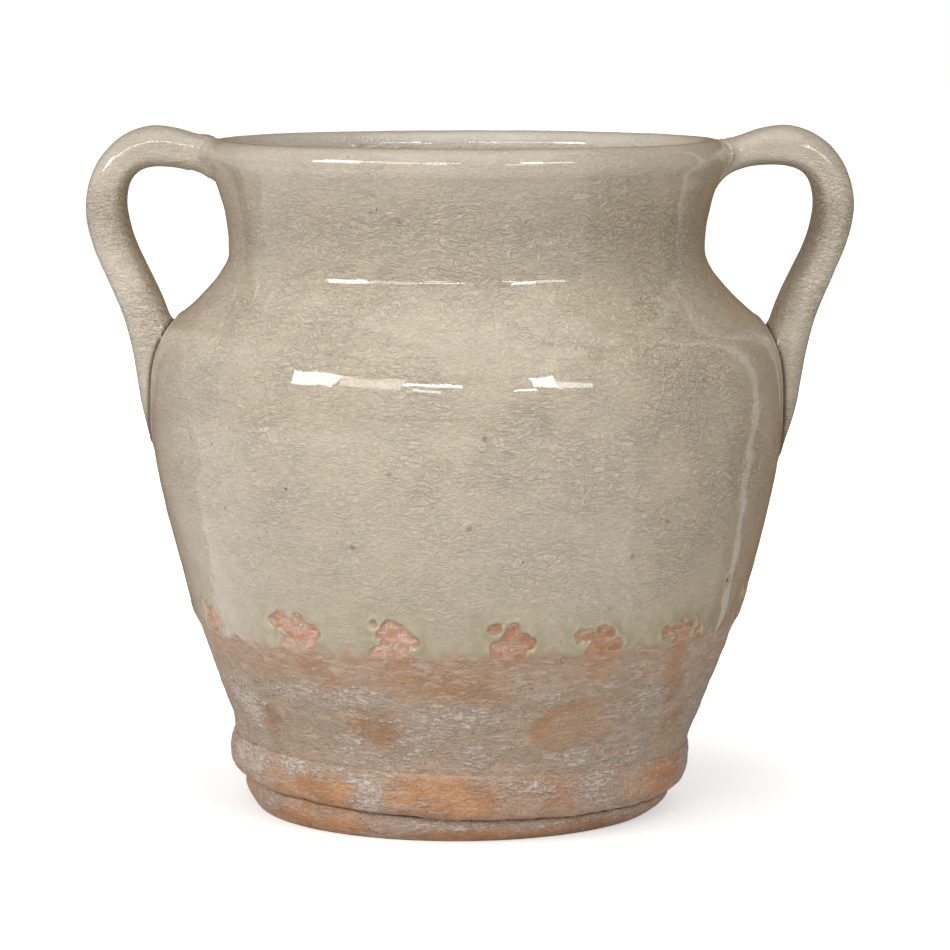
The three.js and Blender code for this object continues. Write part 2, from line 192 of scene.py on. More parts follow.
outside_clay = softened(outside_clay, 186, 206, 9)
lip_roll = arc(lip_middle, LIP_ROLL, -LIP_LEAN, math.pi, 60)
throat = bend(
    (LIP_RADIUS - LIP_ROLL, LIP_HEIGHT, math.pi, 0, 0.35),
    (NECK_RADIUS - WALL, NECK_HEIGHT, math.pi, 0.35, 0),
    60,
)
shoulder_back = run(bend(belly, seam, 100), bend(seam, neck, 80))
shoulder_inside = (shoulder_back - WALL * outward(shoulder_back))[::-1]
lower_back = run(bend(heel, belly, 200))
rise = np.linspace(0, 1, len(lower_back))
thickness = HEEL_WALL + (WALL - HEEL_WALL) * smooth(rise, 0, 0.6)
lower_inside = (lower_back - thickness[:, None] * outward(lower_back))[::-1]
COVE = 20
cove_from = lower_inside[-1]
cove = bend(
    (cove_from[0], cove_from[1], math.pi + 0.7, 0, 0.35),
    (cove_from[0] - COVE - 6, FLOOR_TOP, math.pi * 1.5, 0.35, 0),
    30,
)
PIN = 0.05
floor_inside = np.array([cove[-1], [PIN, FLOOR_TOP]])
whole_clay = run(outside_clay, lip_roll, throat, shoulder_inside, lower_inside, cove, floor_inside)
whole_out = outward(whole_clay)
crest = int(np.argmax(whole_clay[:, 1]))


def out_of_true(theta, height):
    """How far the thrown wall is off a true turned one: oval, rings from the fingers, dents."""
    ring = np.stack([70 * np.sin(theta), -70 * np.cos(theta), height + 0 * theta], -1)
    oval = 0.28 * np.sin(2 * theta + 0.6) - 0.18
    fingers = 0.06 * np.sin(height * 2 * math.pi / 9.5 + theta + 1.2 * np.sin(height / 23))
    fuller = np.exp(-(((height - 72) / 30) ** 2))
    return oval + fuller + fingers * (0.6 + 0.4 * np.sin(height / 31)) + 0.2 * lumps(ring, 34, 3)


def sag(theta, height):
    """How far the shoulder and the lip's outside hang lower at the front than at the handles."""
    shoulder = smooth(height, 148, 178) * (1 - smooth(height, 226, 252))
    lip = np.exp(-(((height - 258.5) / 4.5) ** 2))
    return -(3.4 * shoulder + 1.8 * lip) * np.clip(np.cos(theta), 0, 1)


def on_pot(theta, radius, height):
    """Points of the pot in millimetres, with its lean and its sag."""
    shift = np.interp(height, LEAN_HEIGHTS, LEAN_SHIFTS)
    height = height + sag(theta, height)
    return np.stack([
        radius * np.sin(theta) + shift,
        -radius * np.cos(theta),
        height + 0 * theta,
    ], -1)


def coil_tilt(theta, level):
    """How far the hand-laid coil is off level at its bottom (level 0) and its top (level 1)."""
    top = -0.5 - 2.2 * np.sin(theta)
    bottom = -1.4 + 1.5 * np.sin(theta) ** 2 - 3.1 * np.sin(theta)
    return bottom + (top - bottom) * level


def foot_tilt(theta, level):
    """How far the foot's top is off level, so that it follows the coil's bottom."""
    return coil_tilt(theta, 0) * level


def heel_flare(theta, height):
    """The wall's base: pushed out into the coil, and as far off level as the coil is."""
    near = 1 - smooth(height, HEEL_HEIGHT, HEEL_HEIGHT + 9)
    tilt = coil_tilt(theta, 1.0) * (1 - smooth(height, HEEL_HEIGHT, HEEL_HEIGHT + 20))
    return 0.7 * near * near, tilt


def angles(columns):
    return np.arange(columns) * 2 * math.pi / columns


def rows_of(profile, first, last, spacing):
    """Whole row numbers of a profile from first to last, about a spacing apart."""
    count = max(2, int(round(abs(last - first) / (3 * spacing))) + 1)
    return np.linspace(first, last, count)


def sample(values, rows):
    return np.stack([np.interp(rows, np.arange(len(values)), values[:, k]) for k in (0, 1)], 1)


# Mesh building
def make_piece(name, points, faces, material, node, uv=None, masks=None, normals=None):
    """A piece in metres from points in millimetres, riding on the pot and standing for a node.
    Masks are one value for each point, read by the materials."""
    mesh = bpy.data.meshes.new(name)
    mesh.from_pydata((np.asarray(points) * MM).tolist(), [], faces)
    mesh.shade_smooth()
    if uv is not None:
        layer = mesh.uv_layers.new(name="OFBake")
        layer.uv.foreach_set("vector", np.asarray(uv, np.float32).ravel())
    for mask, values in (masks or {}).items():
        attribute = mesh.attributes.new(mask, "FLOAT", "POINT")
        attribute.data.foreach_set("value", np.asarray(values, np.float32).ravel())
    if normals is not None:
        mesh.normals_split_custom_set_from_vertices(normals.tolist())
    mesh.materials.append(material)
    piece = bpy.data.objects.new(name, mesh)
    bpy.context.scene.collection.objects.link(piece)
    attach(piece, "root")
    if node:
        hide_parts(node)
    return piece


def ring_faces(rows, columns):
    """Quads and their flat map for a skin that closes round the axis and back on itself."""
    i, j = np.meshgrid(np.arange(rows), np.arange(columns), indexing="ij")
    below, beside = (i + 1) % rows, (j + 1) % columns
    corners = np.stack([
        i * columns + j, i * columns + beside, below * columns + beside, below * columns + j,
    ], -1).reshape(-1, 4)
    u = np.stack([j, j + 1, j + 1, j], -1).reshape(-1, 4) / columns
    v = np.stack([i, i, i + 1, i + 1], -1).reshape(-1, 4) / rows
    return corners, np.stack([u, v], -1).reshape(-1, 2)


def turned_piece(name, grid, material, node, masks=None, seen=None):
    """A closed turned skin from a grid of points: rows go up outside. The rows in seen get the
    normals that they have as part of the whole pot, so that pieces meet without a line."""
    rows, columns = grid.shape[:2]
    faces, uv = ring_faces(rows, columns)
    normals = None
    if seen is not None:
        normals = np.zeros((rows, columns, 3))
        normals[: len(seen)] = seen
        normals = normals.reshape(-1, 3)
    flat = {mask: values.reshape(-1) for mask, values in (masks or {}).items()}
    return make_piece(name, grid.reshape(-1, 3), faces.tolist(), material, node, uv, flat,
                      normals)


def surface_normals(grid):
    """Normals of an open band of rows that closes round the axis."""
    round_way = np.roll(grid, -1, 1) - np.roll(grid, 1, 1)
    up_way = np.gradient(grid, axis=0)
    normals = np.cross(round_way, up_way)
    return normals / np.maximum(np.linalg.norm(normals, axis=2), 1e-9)[..., None]


# Where the glaze stops. Each notch is a head of round bites, given as degrees from the front,
# height and radius, with islands of glaze left in it, and a waist that runs down out of it.
NOTCHES = [
    {"bites": [(-65.6, 86.2, 2.2), (-62.8, 84.6, 3.0), (-61.0, 81.8, 2.4), (-64.6, 81.0, 3.4)],
     "islands": [(-63.9, 87.2, 0.7)], "waist": (-64.6, 77, 4.5)},
    {"bites": [(-40.9, 86.4, 2.4), (-39.0, 87.6, 3.0), (-34.8, 88.4, 2.5), (-36.6, 84.0, 4.2),
               (-33.6, 84.2, 3.0), (-31.6, 83.9, 3.0), (-32.6, 81.8, 2.6)],
     "islands": [(-34.4, 86.2, 1.3), (-36.9, 89.0, 0.8)], "waist": (-36.0, 78, 7.0)},
    {"bites": [(-18.2, 88.9, 1.0), (-14.9, 87.4, 3.0), (-13.1, 86.2, 3.1), (-11.8, 84.0, 3.0),
               (-10.1, 82.2, 1.9), (-15.0, 83.0, 3.4), (-16.4, 85.0, 1.8)],
     "islands": [(-14.8, 80.9, 1.3), (-10.6, 78.6, 1.9)], "waist": (-15.0, 78, 7.0)},
    {"bites": [(5.0, 87.5, 1.1), (5.9, 88.0, 1.2), (9.0, 88.0, 1.9), (8.6, 85.4, 3.0),
               (10.6, 83.2, 2.9), (12.4, 81.9, 1.8), (8.0, 82.2, 3.2), (5.6, 81.0, 1.8)],
     "islands": [(6.6, 82.3, 0.9), (9.7, 82.4, 0.8), (9.0, 79.2, 1.2)], "waist": (8.4, 77, 6.2)},
    {"bites": [(22.8, 84.2, 2.2), (24.4, 84.0, 2.5), (27.6, 84.4, 2.7), (29.2, 83.4, 2.4),
               (27.6, 80.4, 4.6), (31.0, 79.6, 2.3), (30.4, 77.4, 2.8)],
     "islands": [(25.7, 85.4, 1.2)], "waist": (28.2, 75, 6.8)},
    {"bites": [(43.9, 81.8, 2.2), (45.6, 81.4, 2.3), (48.0, 82.6, 2.8), (50.0, 81.0, 3.0),
               (51.9, 82.8, 1.6), (54.2, 79.4, 2.2), (54.6, 77.2, 2.6), (49.4, 77.2, 5.0)],
     "islands": [(52.6, 81.6, 0.6), (52.9, 80.4, 0.7), (53.1, 79.2, 0.6), (54.6, 73.4, 1.6)],
     "waist": (49.0, 71, 7.0)},
]
# Round the back the notches repeat the same kinds of head at their own places
BACK_NOTCHES = [(78, 2), (102, 4), (126, 1), (150, 5), (174, 3), (198, 2), (222, 4), (246, 1),
                (268, 5)]
EDGE_HEIGHT = 73.0
NOTCH_RADIUS = 107.5


def centre_of(notch):
    return float(np.mean([bite[0] for bite in notch["bites"]]))


def all_notches():
    front = [(notch, 0.0) for notch in NOTCHES]
    back = [(NOTCHES[kind], degrees - centre_of(NOTCHES[kind])) for degrees, kind in BACK_NOTCHES]
    return front + back


def blended(a, b, width):
    """The smaller of two distances, with a round change between them."""
    share = np.clip(0.5 + 0.5 * (b - a) / width, 0, 1)
    return b + (a - b) * share - width * share * (1 - share)


def glaze_margin(theta, height):
    """Distance in millimetres into the glaze (positive) or the bare clay (negative), and how
    sharp the glaze's edge is there: 1 round a notch's head, 0 where it thins out."""
    place = np.stack([NOTCH_RADIUS * np.sin(theta), -NOTCH_RADIUS * np.cos(theta), height], -1)
    rough = 0.75 * lumps(place, 2.7, 11) + 0.5 * lumps(place, 1.2, 12)
    edge = EDGE_HEIGHT + 1.6 * lumps(place * [1, 1, 0.2], 17, 13) + 0.8 * lumps(place, 6, 14)
    margin = height - edge
    heads = np.full(theta.shape, 30.0)
    island = np.full(theta.shape, -30.0)
    for notch, turn in all_notches():
        def across(degrees):
            off = (theta - math.radians(degrees + turn) + math.pi) % (2 * math.pi) - math.pi
            return off * NOTCH_RADIUS

        middle = across(centre_of(notch))
        near = np.abs(middle) < 32
        if not near.any():
            continue
        for degrees, level, size in notch["bites"]:
            bite = np.hypot(across(degrees), height - level) - size
            heads = np.where(near, blended(heads, bite, 0.9), heads)
        degrees, level, size = notch["waist"]
        fall = np.clip(level - height, 0, None)
        waist = np.abs(across(degrees)) - size - 0.35 * fall
        waist = np.maximum(waist, height - level - 3)
        heads = np.where(near, blended(heads, waist, 2.0), heads)
        for degrees, level, size in notch["islands"]:
            land = size - np.hypot(across(degrees), height - level)
            island = np.maximum(island, np.where(near, land, -30))
    heads = heads + rough
    sharp = smooth(height, EDGE_HEIGHT, EDGE_HEIGHT + 7)
    sharp = sharp * (1 - smooth(np.abs(heads), 5, 9))
    whole = blended(margin + 0.4 * rough, heads, 1.5)
    return np.maximum(whole, island + 0.3 * rough), sharp


def glaze_lift(theta, height, margin, sharp, points):
    """How far the glaze stands off the clay: buried where bare, rolled round the notches."""
    bead = 0.35 * np.exp(-(((margin - 1.5) / 1.0) ** 2))
    rolled = -0.7 + (GLAZE + 0.7) * smooth(margin, -0.5, 0.9) + bead
    thinned = -0.3 + (GLAZE + 0.3) * smooth(margin, -2.5, 9)
    swell = 0.13 * lumps(points * [1, 1, 1.3], 11, 23)
    fine = swell + 0.05 * lumps(points, 5, 21) + 0.012 * lumps(points, 2.6, 22)
    return rolled * sharp + thinned * (1 - sharp) + fine * smooth(margin, 0, 2)


# Knobs and pits in the glaze: degrees from the front, height, radius, how far they stand out
KNOBS = [
    (-15.1, 238.7, 1.9, 0.75), (-20.0, 243.1, 0.8, -0.3), (-6.4, 196.0, 1.0, 0.25),
    (17.1, 196.0, 1.0, 0.3), (3.1, 161.2, 1.3, 0.45), (0.3, 127.3, 1.5, 0.4),
    (-20.7, 118.8, 1.3, 0.3), (-33.0, 139.6, 1.0, -0.25), (-13.2, 147.4, 1.2, 0.3),
    (31.3, 113.9, 1.2, 0.35), (-48.8, 129.3, 1.0, 0.3), (45.8, 178.8, 1.1, 0.3),
    (38.2, 126.4, 1.2, 0.3), (61.4, 97.8, 1.6, -0.5), (27.7, 94.0, 1.2, 0.5),
    (-65.9, 192.9, 1.6, 0.25), (-58.5, 196.6, 1.6, 0.2), (-64.3, 166, 0.9, -0.2),
    (-66.2, 160.5, 0.7, -0.2), (-62.3, 161, 1.0, -0.25), (-60.6, 158.2, 0.7, -0.2),
    (-57.5, 154.6, 1.0, -0.25), (-50.4, 153.8, 0.7, -0.2), (-45.3, 163.5, 0.7, -0.2),
    (-56.5, 191.7, 1.0, 0.3),
    (150, 210, 1.6, 0.5), (-140, 150, 1.3, 0.35), (205, 232, 1.4, 0.4), (120, 128, 1.2, -0.3),
]


INSIDE_KNOBS = [(-149.3, 259.4, 1.5, 0.8), (178, 262.0, 1.0, 0.3)]


def knob_lift(theta, height, radius, knobs):
    total = 0 * theta
    for degrees, level, size, lift in knobs:
        level = level - sag(math.radians(degrees), level)
        off = (theta - math.radians(degrees) + math.pi) % (2 * math.pi) - math.pi
        far = np.hypot(off * radius, height - level) / size
        total = total + lift * np.exp(-far * far)
    return total


# Handles
def handle_stations():
    """Outer and inner rail of a handle: buried root, crown, elbow, shoulder and buried tail."""
    thick = 16.4
    lip_out = LIP_RADIUS + LIP_ROLL
    crown_out = lip_out + 21
    elbow_height = LIP_TOP - 25.7
    landing = (SEAM_RADIUS + 6.6, SEAM_HEIGHT)
    running = math.pi + 0.27
    level, down = math.pi / 2, math.pi
    reach = thick + 1.6
    outer = [
        (lip_out - 8.5, LIP_TOP - CLEARANCE, level - 0.1, 0, 0.33),
        (crown_out, HANDLE_TOP, level, 0.33, 0.38),
        (HANDLE_OUT, elbow_height, down, 0.38, 0.33),
        (landing[0] + reach * math.cos(0.27), landing[1] - reach * math.sin(0.27), running, 0.33, 0.4),
        (BELLY_RADIUS - 3, SEAM_HEIGHT - 58, running + 0.3, 0.4, 0),
    ]
    inner = [
        (NECK_RADIUS - 6, LIP_TOP - 43, 0.3, 0, 0.5),
        (crown_out - 6.6, HANDLE_TOP - thick, level, 0.45, 0.5),
        (HANDLE_OUT - 17.2, elbow_height + 2, down, 0.5, 0.33),
        (landing[0], landing[1], running, 0.33, 0.33),
        (BELLY_RADIUS - 12, SEAM_HEIGHT - 46, down, 0.33, 0),
    ]
    return outer, inner


HANDLE_SIDES = 96
HANDLE_STEPS = (60, 60, 50, 60)


def rail(stations):
    parts = [
        bend(a, b, count + 1)[: None if k == 3 else -1]
        for k, (a, b, count) in enumerate(zip(stations, stations[1:], HANDLE_STEPS))
    ]
    return np.concatenate(parts)


def pot_gap(points):
    """Distance of points from the pot's glazed outside, and the way that the pot faces there."""
    shift = np.interp(points[:, 2], LEAN_HEIGHTS, LEAN_SHIFTS)
    radius = np.hypot(points[:, 0] - shift, points[:, 1])
    skin = (whole_clay + GLAZE * whole_out)[: crest + 60 : 4]
    facing = whole_out[: crest + 60 : 4]
    gap, spot = np.empty(len(points)), np.empty(len(points), int)
    for start in range(0, len(points), 4000):
        part = slice(start, start + 4000)
        off_r = radius[part, None] - skin[:, 0]
        off_z = points[part, 2, None] - skin[:, 1]
        far = np.hypot(off_r, off_z)
        nearest = far.argmin(1)
        pick = np.arange(len(nearest))
        side = off_r[pick, nearest] * facing[nearest, 0] + off_z[pick, nearest] * facing[nearest, 1]
        gap[part] = np.sign(side) * far[pick, nearest]
        spot[part] = nearest
    round_way = np.stack([points[:, 0] - shift, points[:, 1]], -1) / radius[:, None]
    return gap, np.concatenate([round_way * facing[spot, :1], facing[spot, 1:]], 1)


# How wide the clay is smoothed where a root joins the pot, on its flanks, and more beneath it
JOINT = {-1: (14, 5), 1: (8, 3)}
ROOT_SEAM = {-1: 0.22, 1: 0.4}


def joint_width(side, root_facing, pot_facing):
    """Width of the smoothed joint: none where root and pot run on into each other."""
    flank, beneath = JOINT[side]
    apart = np.clip(1 - np.sum(root_facing * pot_facing, -1), 0, 1)
    return (flank + beneath * np.clip(-root_facing[..., 2], 0, 1)) * apart


def joint_lift(width, distance):
    """Height of the smoothing at a distance from the other surface; both meet in its middle."""
    return np.clip(np.sqrt(width) - np.sqrt(np.maximum(distance, width / 4)), 0, None) ** 2


def handle_points(side, twist, tail_size):
    """Grid of points of one handle. Outside it is round; its inner face is flatter and has an
    edge. Twist turns the run so that the inner face shows a little."""
    outer, inner = (rail(stations) for stations in handle_stations())
    share = np.linspace(0, 1, len(outer))
    middle = (outer + inner) / 2
    reach = (outer - inner) / 2
    root = np.clip(1 - share / 0.22, 0, 1)
    tail = np.clip((share - 0.7) / 0.3, 0, 1)
    tongue = np.clip((share - 0.86) / 0.14, 0, 1)
    half_width = (11 + 6 * root**2 + 5 * tail**2) * np.sqrt(1 - 0.85 * tongue**2)
    half_width *= 1 + (tail_size - 1) * tail
    turn = np.arange(HANDLE_SIDES) * 2 * math.pi / HANDLE_SIDES
    turned = turn[None, :] + math.radians(twist) * smooth(share, 0.35, 0.55)[:, None]
    squareness = np.where(np.cos(turn) > 0, 2.15, 3.2)
    out = np.sign(np.cos(turn)) * np.abs(np.cos(turn)) ** (2 / squareness)
    across = np.sign(np.sin(turn)) * np.abs(np.sin(turn)) ** (2 / squareness)
    lean = (turned - turn)[:, :1]
    thick = np.linalg.norm(reach, axis=1)[:, None]
    wide = half_width[:, None]
    swung_out = out * thick * np.cos(lean) - across * wide * np.sin(lean)
    swung_across = across * wide * np.cos(lean) + out * thick * np.sin(lean)
    swung_out *= thick / np.abs(swung_out).max(1)[:, None]
    unit = reach / thick
    x = middle[:, :1] + unit[:, :1] * swung_out
    z = middle[:, 1:] + unit[:, 1:] * swung_out
    inner_face = smooth(-out, 0.2, 0.85) + 0 * x
    return np.stack([side * x, swung_across, z], -1), inner_face


def grid_outward(grid, side):
    round_way = np.roll(grid, -1, 1) - np.roll(grid, 1, 1)
    along = np.gradient(grid, axis=0)
    normal = np.cross(along, round_way) * side
    return normal / np.maximum(np.linalg.norm(normal, axis=2), 1e-9)[..., None]


def make_handle(name, node, side, twist, tail_size, seed, material):
    grid, inner_face = handle_points(side, twist, tail_size)
    facing = grid_outward(grid, side)
    flat = grid.reshape(-1, 3)
    gap, pot_facing = pot_gap(flat)
    gap, pot_facing = gap.reshape(grid.shape[:2]), pot_facing.reshape(grid.shape)
    pulled = 0.3 * lumps(flat * [1, 1, 0.5], 16, seed) + 0.12 * lumps(flat, 6, seed + 1) - 0.4
    upper = smooth(grid[..., 2], 205, 225)
    width = joint_width(side, facing, pot_facing)
    shown = smooth(gap, -3.5, -1)
    pressed = 1.5 * np.exp(-np.clip(gap, 0, None) / 1.6)
    fillet = joint_lift(width, np.clip(gap, 0, None)) * upper + pressed * (1 - upper)
    reach = np.hypot(grid[..., 0] + 1.2, grid[..., 1])
    sunk = -np.clip(98 - reach, 0, None) * smooth(grid[..., 2], 250, 258)
    stout = 1.1 * np.clip(-facing[..., 2], 0, 1) * (1 - smooth(reach, 110, 130)) * (side < 0)
    seam = np.exp(-(((gap - width / 4) / 0.5) ** 2)) * smooth(width, 1, 4) * upper
    seam = seam * (1 + 0.6 * lumps(grid, 4, seed + 2)) * ROOT_SEAM[side]
    lift = pulled.reshape(gap.shape) + fillet * shown + sunk + stout
    outside = gap.reshape(-1) > 0
    cloud = flat[outside], facing.reshape(-1, 3)[outside]
    grid = grid + facing * lift[..., None]
    rows, columns = gap.shape
    i, j = np.meshgrid(np.arange(rows - 1), np.arange(columns), indexing="ij")
    beside = (j + 1) % columns
    quads = np.stack([
        i * columns + j, (i + 1) * columns + j, (i + 1) * columns + beside, i * columns + beside,
    ], -1).reshape(-1, 4)
    if side < 0:
        quads = quads[:, ::-1]
    u = np.stack([j, j, j + 1, j + 1], -1).reshape(-1, 4) / columns
    v = np.stack([i, i + 1, i + 1, i], -1).reshape(-1, 4) / rows
    uv = np.stack([u, v], -1)
    if side < 0:
        uv = uv[:, ::-1]
    caps = [list(range(columns)), list(range((rows - 1) * columns, rows * columns))[::-1]]
    if side < 0:
        caps = [cap[::-1] for cap in caps]
    cap_uv = np.full((2 * columns, 2), 0.001)
    uv = np.concatenate([uv.reshape(-1, 2), cap_uv])
    piece = make_piece(name, grid.reshape(-1, 3), quads.tolist() + caps, material, node,
                       uv, {
                           # crevice: painted shade where a tail nears the pot, and the seam line at the root
                           "crevice": np.exp(-np.clip(gap, 0, None) / 1.4) * (1 - upper) + seam,
                           "handle": smooth(gap, 2, 18),
                           "inner_face": inner_face,
                       })
    return piece, cloud


# Clay surfaces
def patch(theta, height, radius, places):
    """Soft oval patches with ragged sides: degrees from the front, height, half width, half
    height, strength."""
    total = 0 * theta
    place = np.stack([radius * np.sin(theta), -radius * np.cos(theta), height * 1.6], -1)
    ragged = 0.36 * lumps(place, 8, 91) + 0.3 * lumps(place, 2.6, 92)
    for degrees, level, wide, tall, strength in places:
        off = (theta - math.radians(degrees) + math.pi) % (2 * math.pi) - math.pi
        far = np.hypot(off * radius / wide, (height - level) / tall)
        total = np.maximum(total, strength * (1 - smooth(far + ragged, 0.3, 1.75)))
    return total


DISC = (25.0, 45.5, 17, 12)


def disc_mark(theta, height):
    """A round mark on the bare wall, darker along its upper left edge."""
    degrees, level, wide, tall = DISC
    across = ((theta - math.radians(degrees) + math.pi) % (2 * math.pi) - math.pi) * 98 / wide
    up = (height - level) / tall
    place = np.stack([98 * np.sin(theta), -98 * np.cos(theta), height], -1)
    far = np.hypot(across, up) + 0.1 * lumps(place, 6, 93) + 0.06 * lumps(place, 2, 94)
    upper_left = smooth(up - across, -0.2, 1.1)
    inside = 0.42 * (1 - smooth(far, 0.8, 1.12))
    return inside + 0.5 * upper_left * np.exp(-(((far - 0.84) / 0.17) ** 2))


# Places where the red clay shows through the wash, and where chalk lies thick on it
RUST = [
    (-52.8, 44.6, 8, 6.5, 1.0), (-20.7, 46.4, 11.5, 8, 1.15), (-33.5, 69, 6, 6, 0.8),
    (-30, 61.5, 5, 6.5, 0.8), (-12, 70, 10, 6, 0.9), (-5, 65.5, 17, 7.0, 0.85), (4, 61, 9, 6, 0.6),
    (58.2, 42.3, 9, 7, 0.7), (50, 67, 6, 8, 0.85), (52, 58, 4.5, 9, 0.9), (-62, 66, 12, 6, 0.45),
    (-45, 66, 12, 5, 0.4), (28.3, 71, 7, 5.5, 0.75), (8.5, 74, 7, 3, 0.5), (36, 56, 12, 5, 0.4),
    (98, 50, 13, 9, 0.9), (131, 62, 16, 7, 0.7), (160, 44, 12, 8, 0.8), (190, 58, 18, 8, 0.7),
    (224, 46, 12, 9, 0.9), (251, 63, 15, 7, 0.6), (78, 64, 9, 8, 0.6), (276, 48, 9, 9, 0.7),
]
CHALK = [
    (17.1, 60.7, 8, 4.5, 0.9), (-1, 52, 16, 6, 0.9), (-25, 58.5, 12, 4.5, 0.9),
    (-10, 46, 10, 8, 0.9), (28.8, 33, 12, 4, 1.0), (43.7, 31, 13, 4, 0.8), (-38, 60, 14, 7, 0.7),
    (-26, 37, 14, 6, 0.8), (43, 55, 11, 7, 0.7), (-60, 50, 12, 16, 1.2), (5, 37, 16, 5, 0.6),
    (70, 50, 10, 12, 0.6), (110, 62, 18, 8, 0.8), (145, 50, 16, 9, 0.9), (175, 64, 16, 6, 0.8),
    (205, 42, 14, 8, 0.9), (240, 58, 14, 8, 0.8), (262, 44, 12, 9, 0.8), (292, 60, 10, 10, 0.7),
]


def scored(theta, height, points):
    """Relief of the bare wall: slanting scores, crusts of chalk, grains and pits."""
    slant = points * 1.0
    slant[..., 2] = slant[..., 2] + 0.1 * NOTCH_RADIUS * np.sin(theta)
    streaks = lumps(slant * [0.22, 0.22, 1.6], 2.0, 31) + 0.6 * lumps(slant * [0.35, 0.35, 2.4], 2.0, 32)
    grain = lumps(points, 1.6, 33)
    crust = patch(theta, height, 98, CHALK)
    broken = smooth(lumps(points * [1, 1, 1.6], 2.6, 34) + 0.5 * grain, 0.05, 0.5)
    pits = smooth(lumps(points, 2.1, 35), 0.62, 0.85)
    return 0.16 * streaks + 0.1 * grain + 0.3 * crust * broken - 0.45 * pits


def closed_back(profile, columns):
    theta, radius = np.meshgrid(angles(columns), profile[:, 0])
    height = np.repeat(profile[:, 1:], columns, 1)
    return on_pot(theta, radius, height)


def make_clay_wall(material):
    columns = 840
    top = 103.0
    profile = outside_clay[outside_clay[:, 1] < top]
    rows = rows_of(profile, 0, len(profile) - 1, 0.78)
    line, facing = sample(profile, rows), sample(outward(outside_clay)[: len(profile)], rows)
    theta, radius = np.meshgrid(angles(columns), line[:, 0])
    height = np.repeat(line[:, 1:], columns, 1)
    flare, tilt = heel_flare(theta, height)
    radius = radius + out_of_true(theta, height) + flare
    points = on_pot(theta, radius, height)
    relief = scored(theta, height, points) - 0.12
    margin, _ = glaze_margin(theta, height)
    notched = (1 - smooth(margin, -1.5, 1.5)) * smooth(height, 72, 79)
    relief = relief * (0.3 + 0.7 * smooth(height, HEEL_HEIGHT, HEEL_HEIGHT + 5))
    relief = relief * (1 - 0.6 * notched) + 0.5 * smooth(height, 72, 77) * (1 - smooth(height, 92, 97))
    height = height + tilt
    front = on_pot(theta, radius + relief * facing[:, :1], height + relief * facing[:, 1:])
    skirt = front[:1] * [0.996, 0.996, 1] - [0, 0, 1.6]
    front, notched = np.concatenate([skirt, front]), np.concatenate([notched[:1], notched])
    upper = outside_clay[(outside_clay[:, 1] >= top)][::12]
    upper = upper - 0.9 * outward(upper)
    upper = upper[upper[:, 1] < SEAM_HEIGHT - 0.5]
    inner = whole_clay[crest:]
    inner = inner[(inner[:, 1] < SEAM_HEIGHT - 1) & (inner[:, 0] > FLOOR_RADIUS * 0.7)][::18]
    inner = inner - 0.9 * outward(inner)
    base = np.array([
        [FLOOR_RADIUS * 0.72, FLOOR_TOP + 0.1], [FLOOR_RADIUS, FLOOR_TOP + 0.1],
        [FLOOR_RADIUS, HEEL_HEIGHT], [HEEL_RADIUS - 2.4, HEEL_HEIGHT - 0.5],
        [HEEL_RADIUS + 0.4, HEEL_HEIGHT - 2.5],
    ])
    back = closed_back(np.concatenate([upper, inner, base]), columns)
    theta_all = np.repeat(angles(columns)[None], len(front) + len(back), 0)
    grid = np.concatenate([front, back])
    hidden = np.zeros(back.shape[:2])
    masks = {
        "rust": np.maximum(patch(theta_all, grid[..., 2], 98, RUST), disc_mark(theta_all, grid[..., 2])),
        "chalk": patch(theta_all, grid[..., 2], 98, CHALK),
        "blush": np.concatenate([notched, hidden]),
    }
    return turned_piece("clay_wall", grid, material, "body_wall", masks)


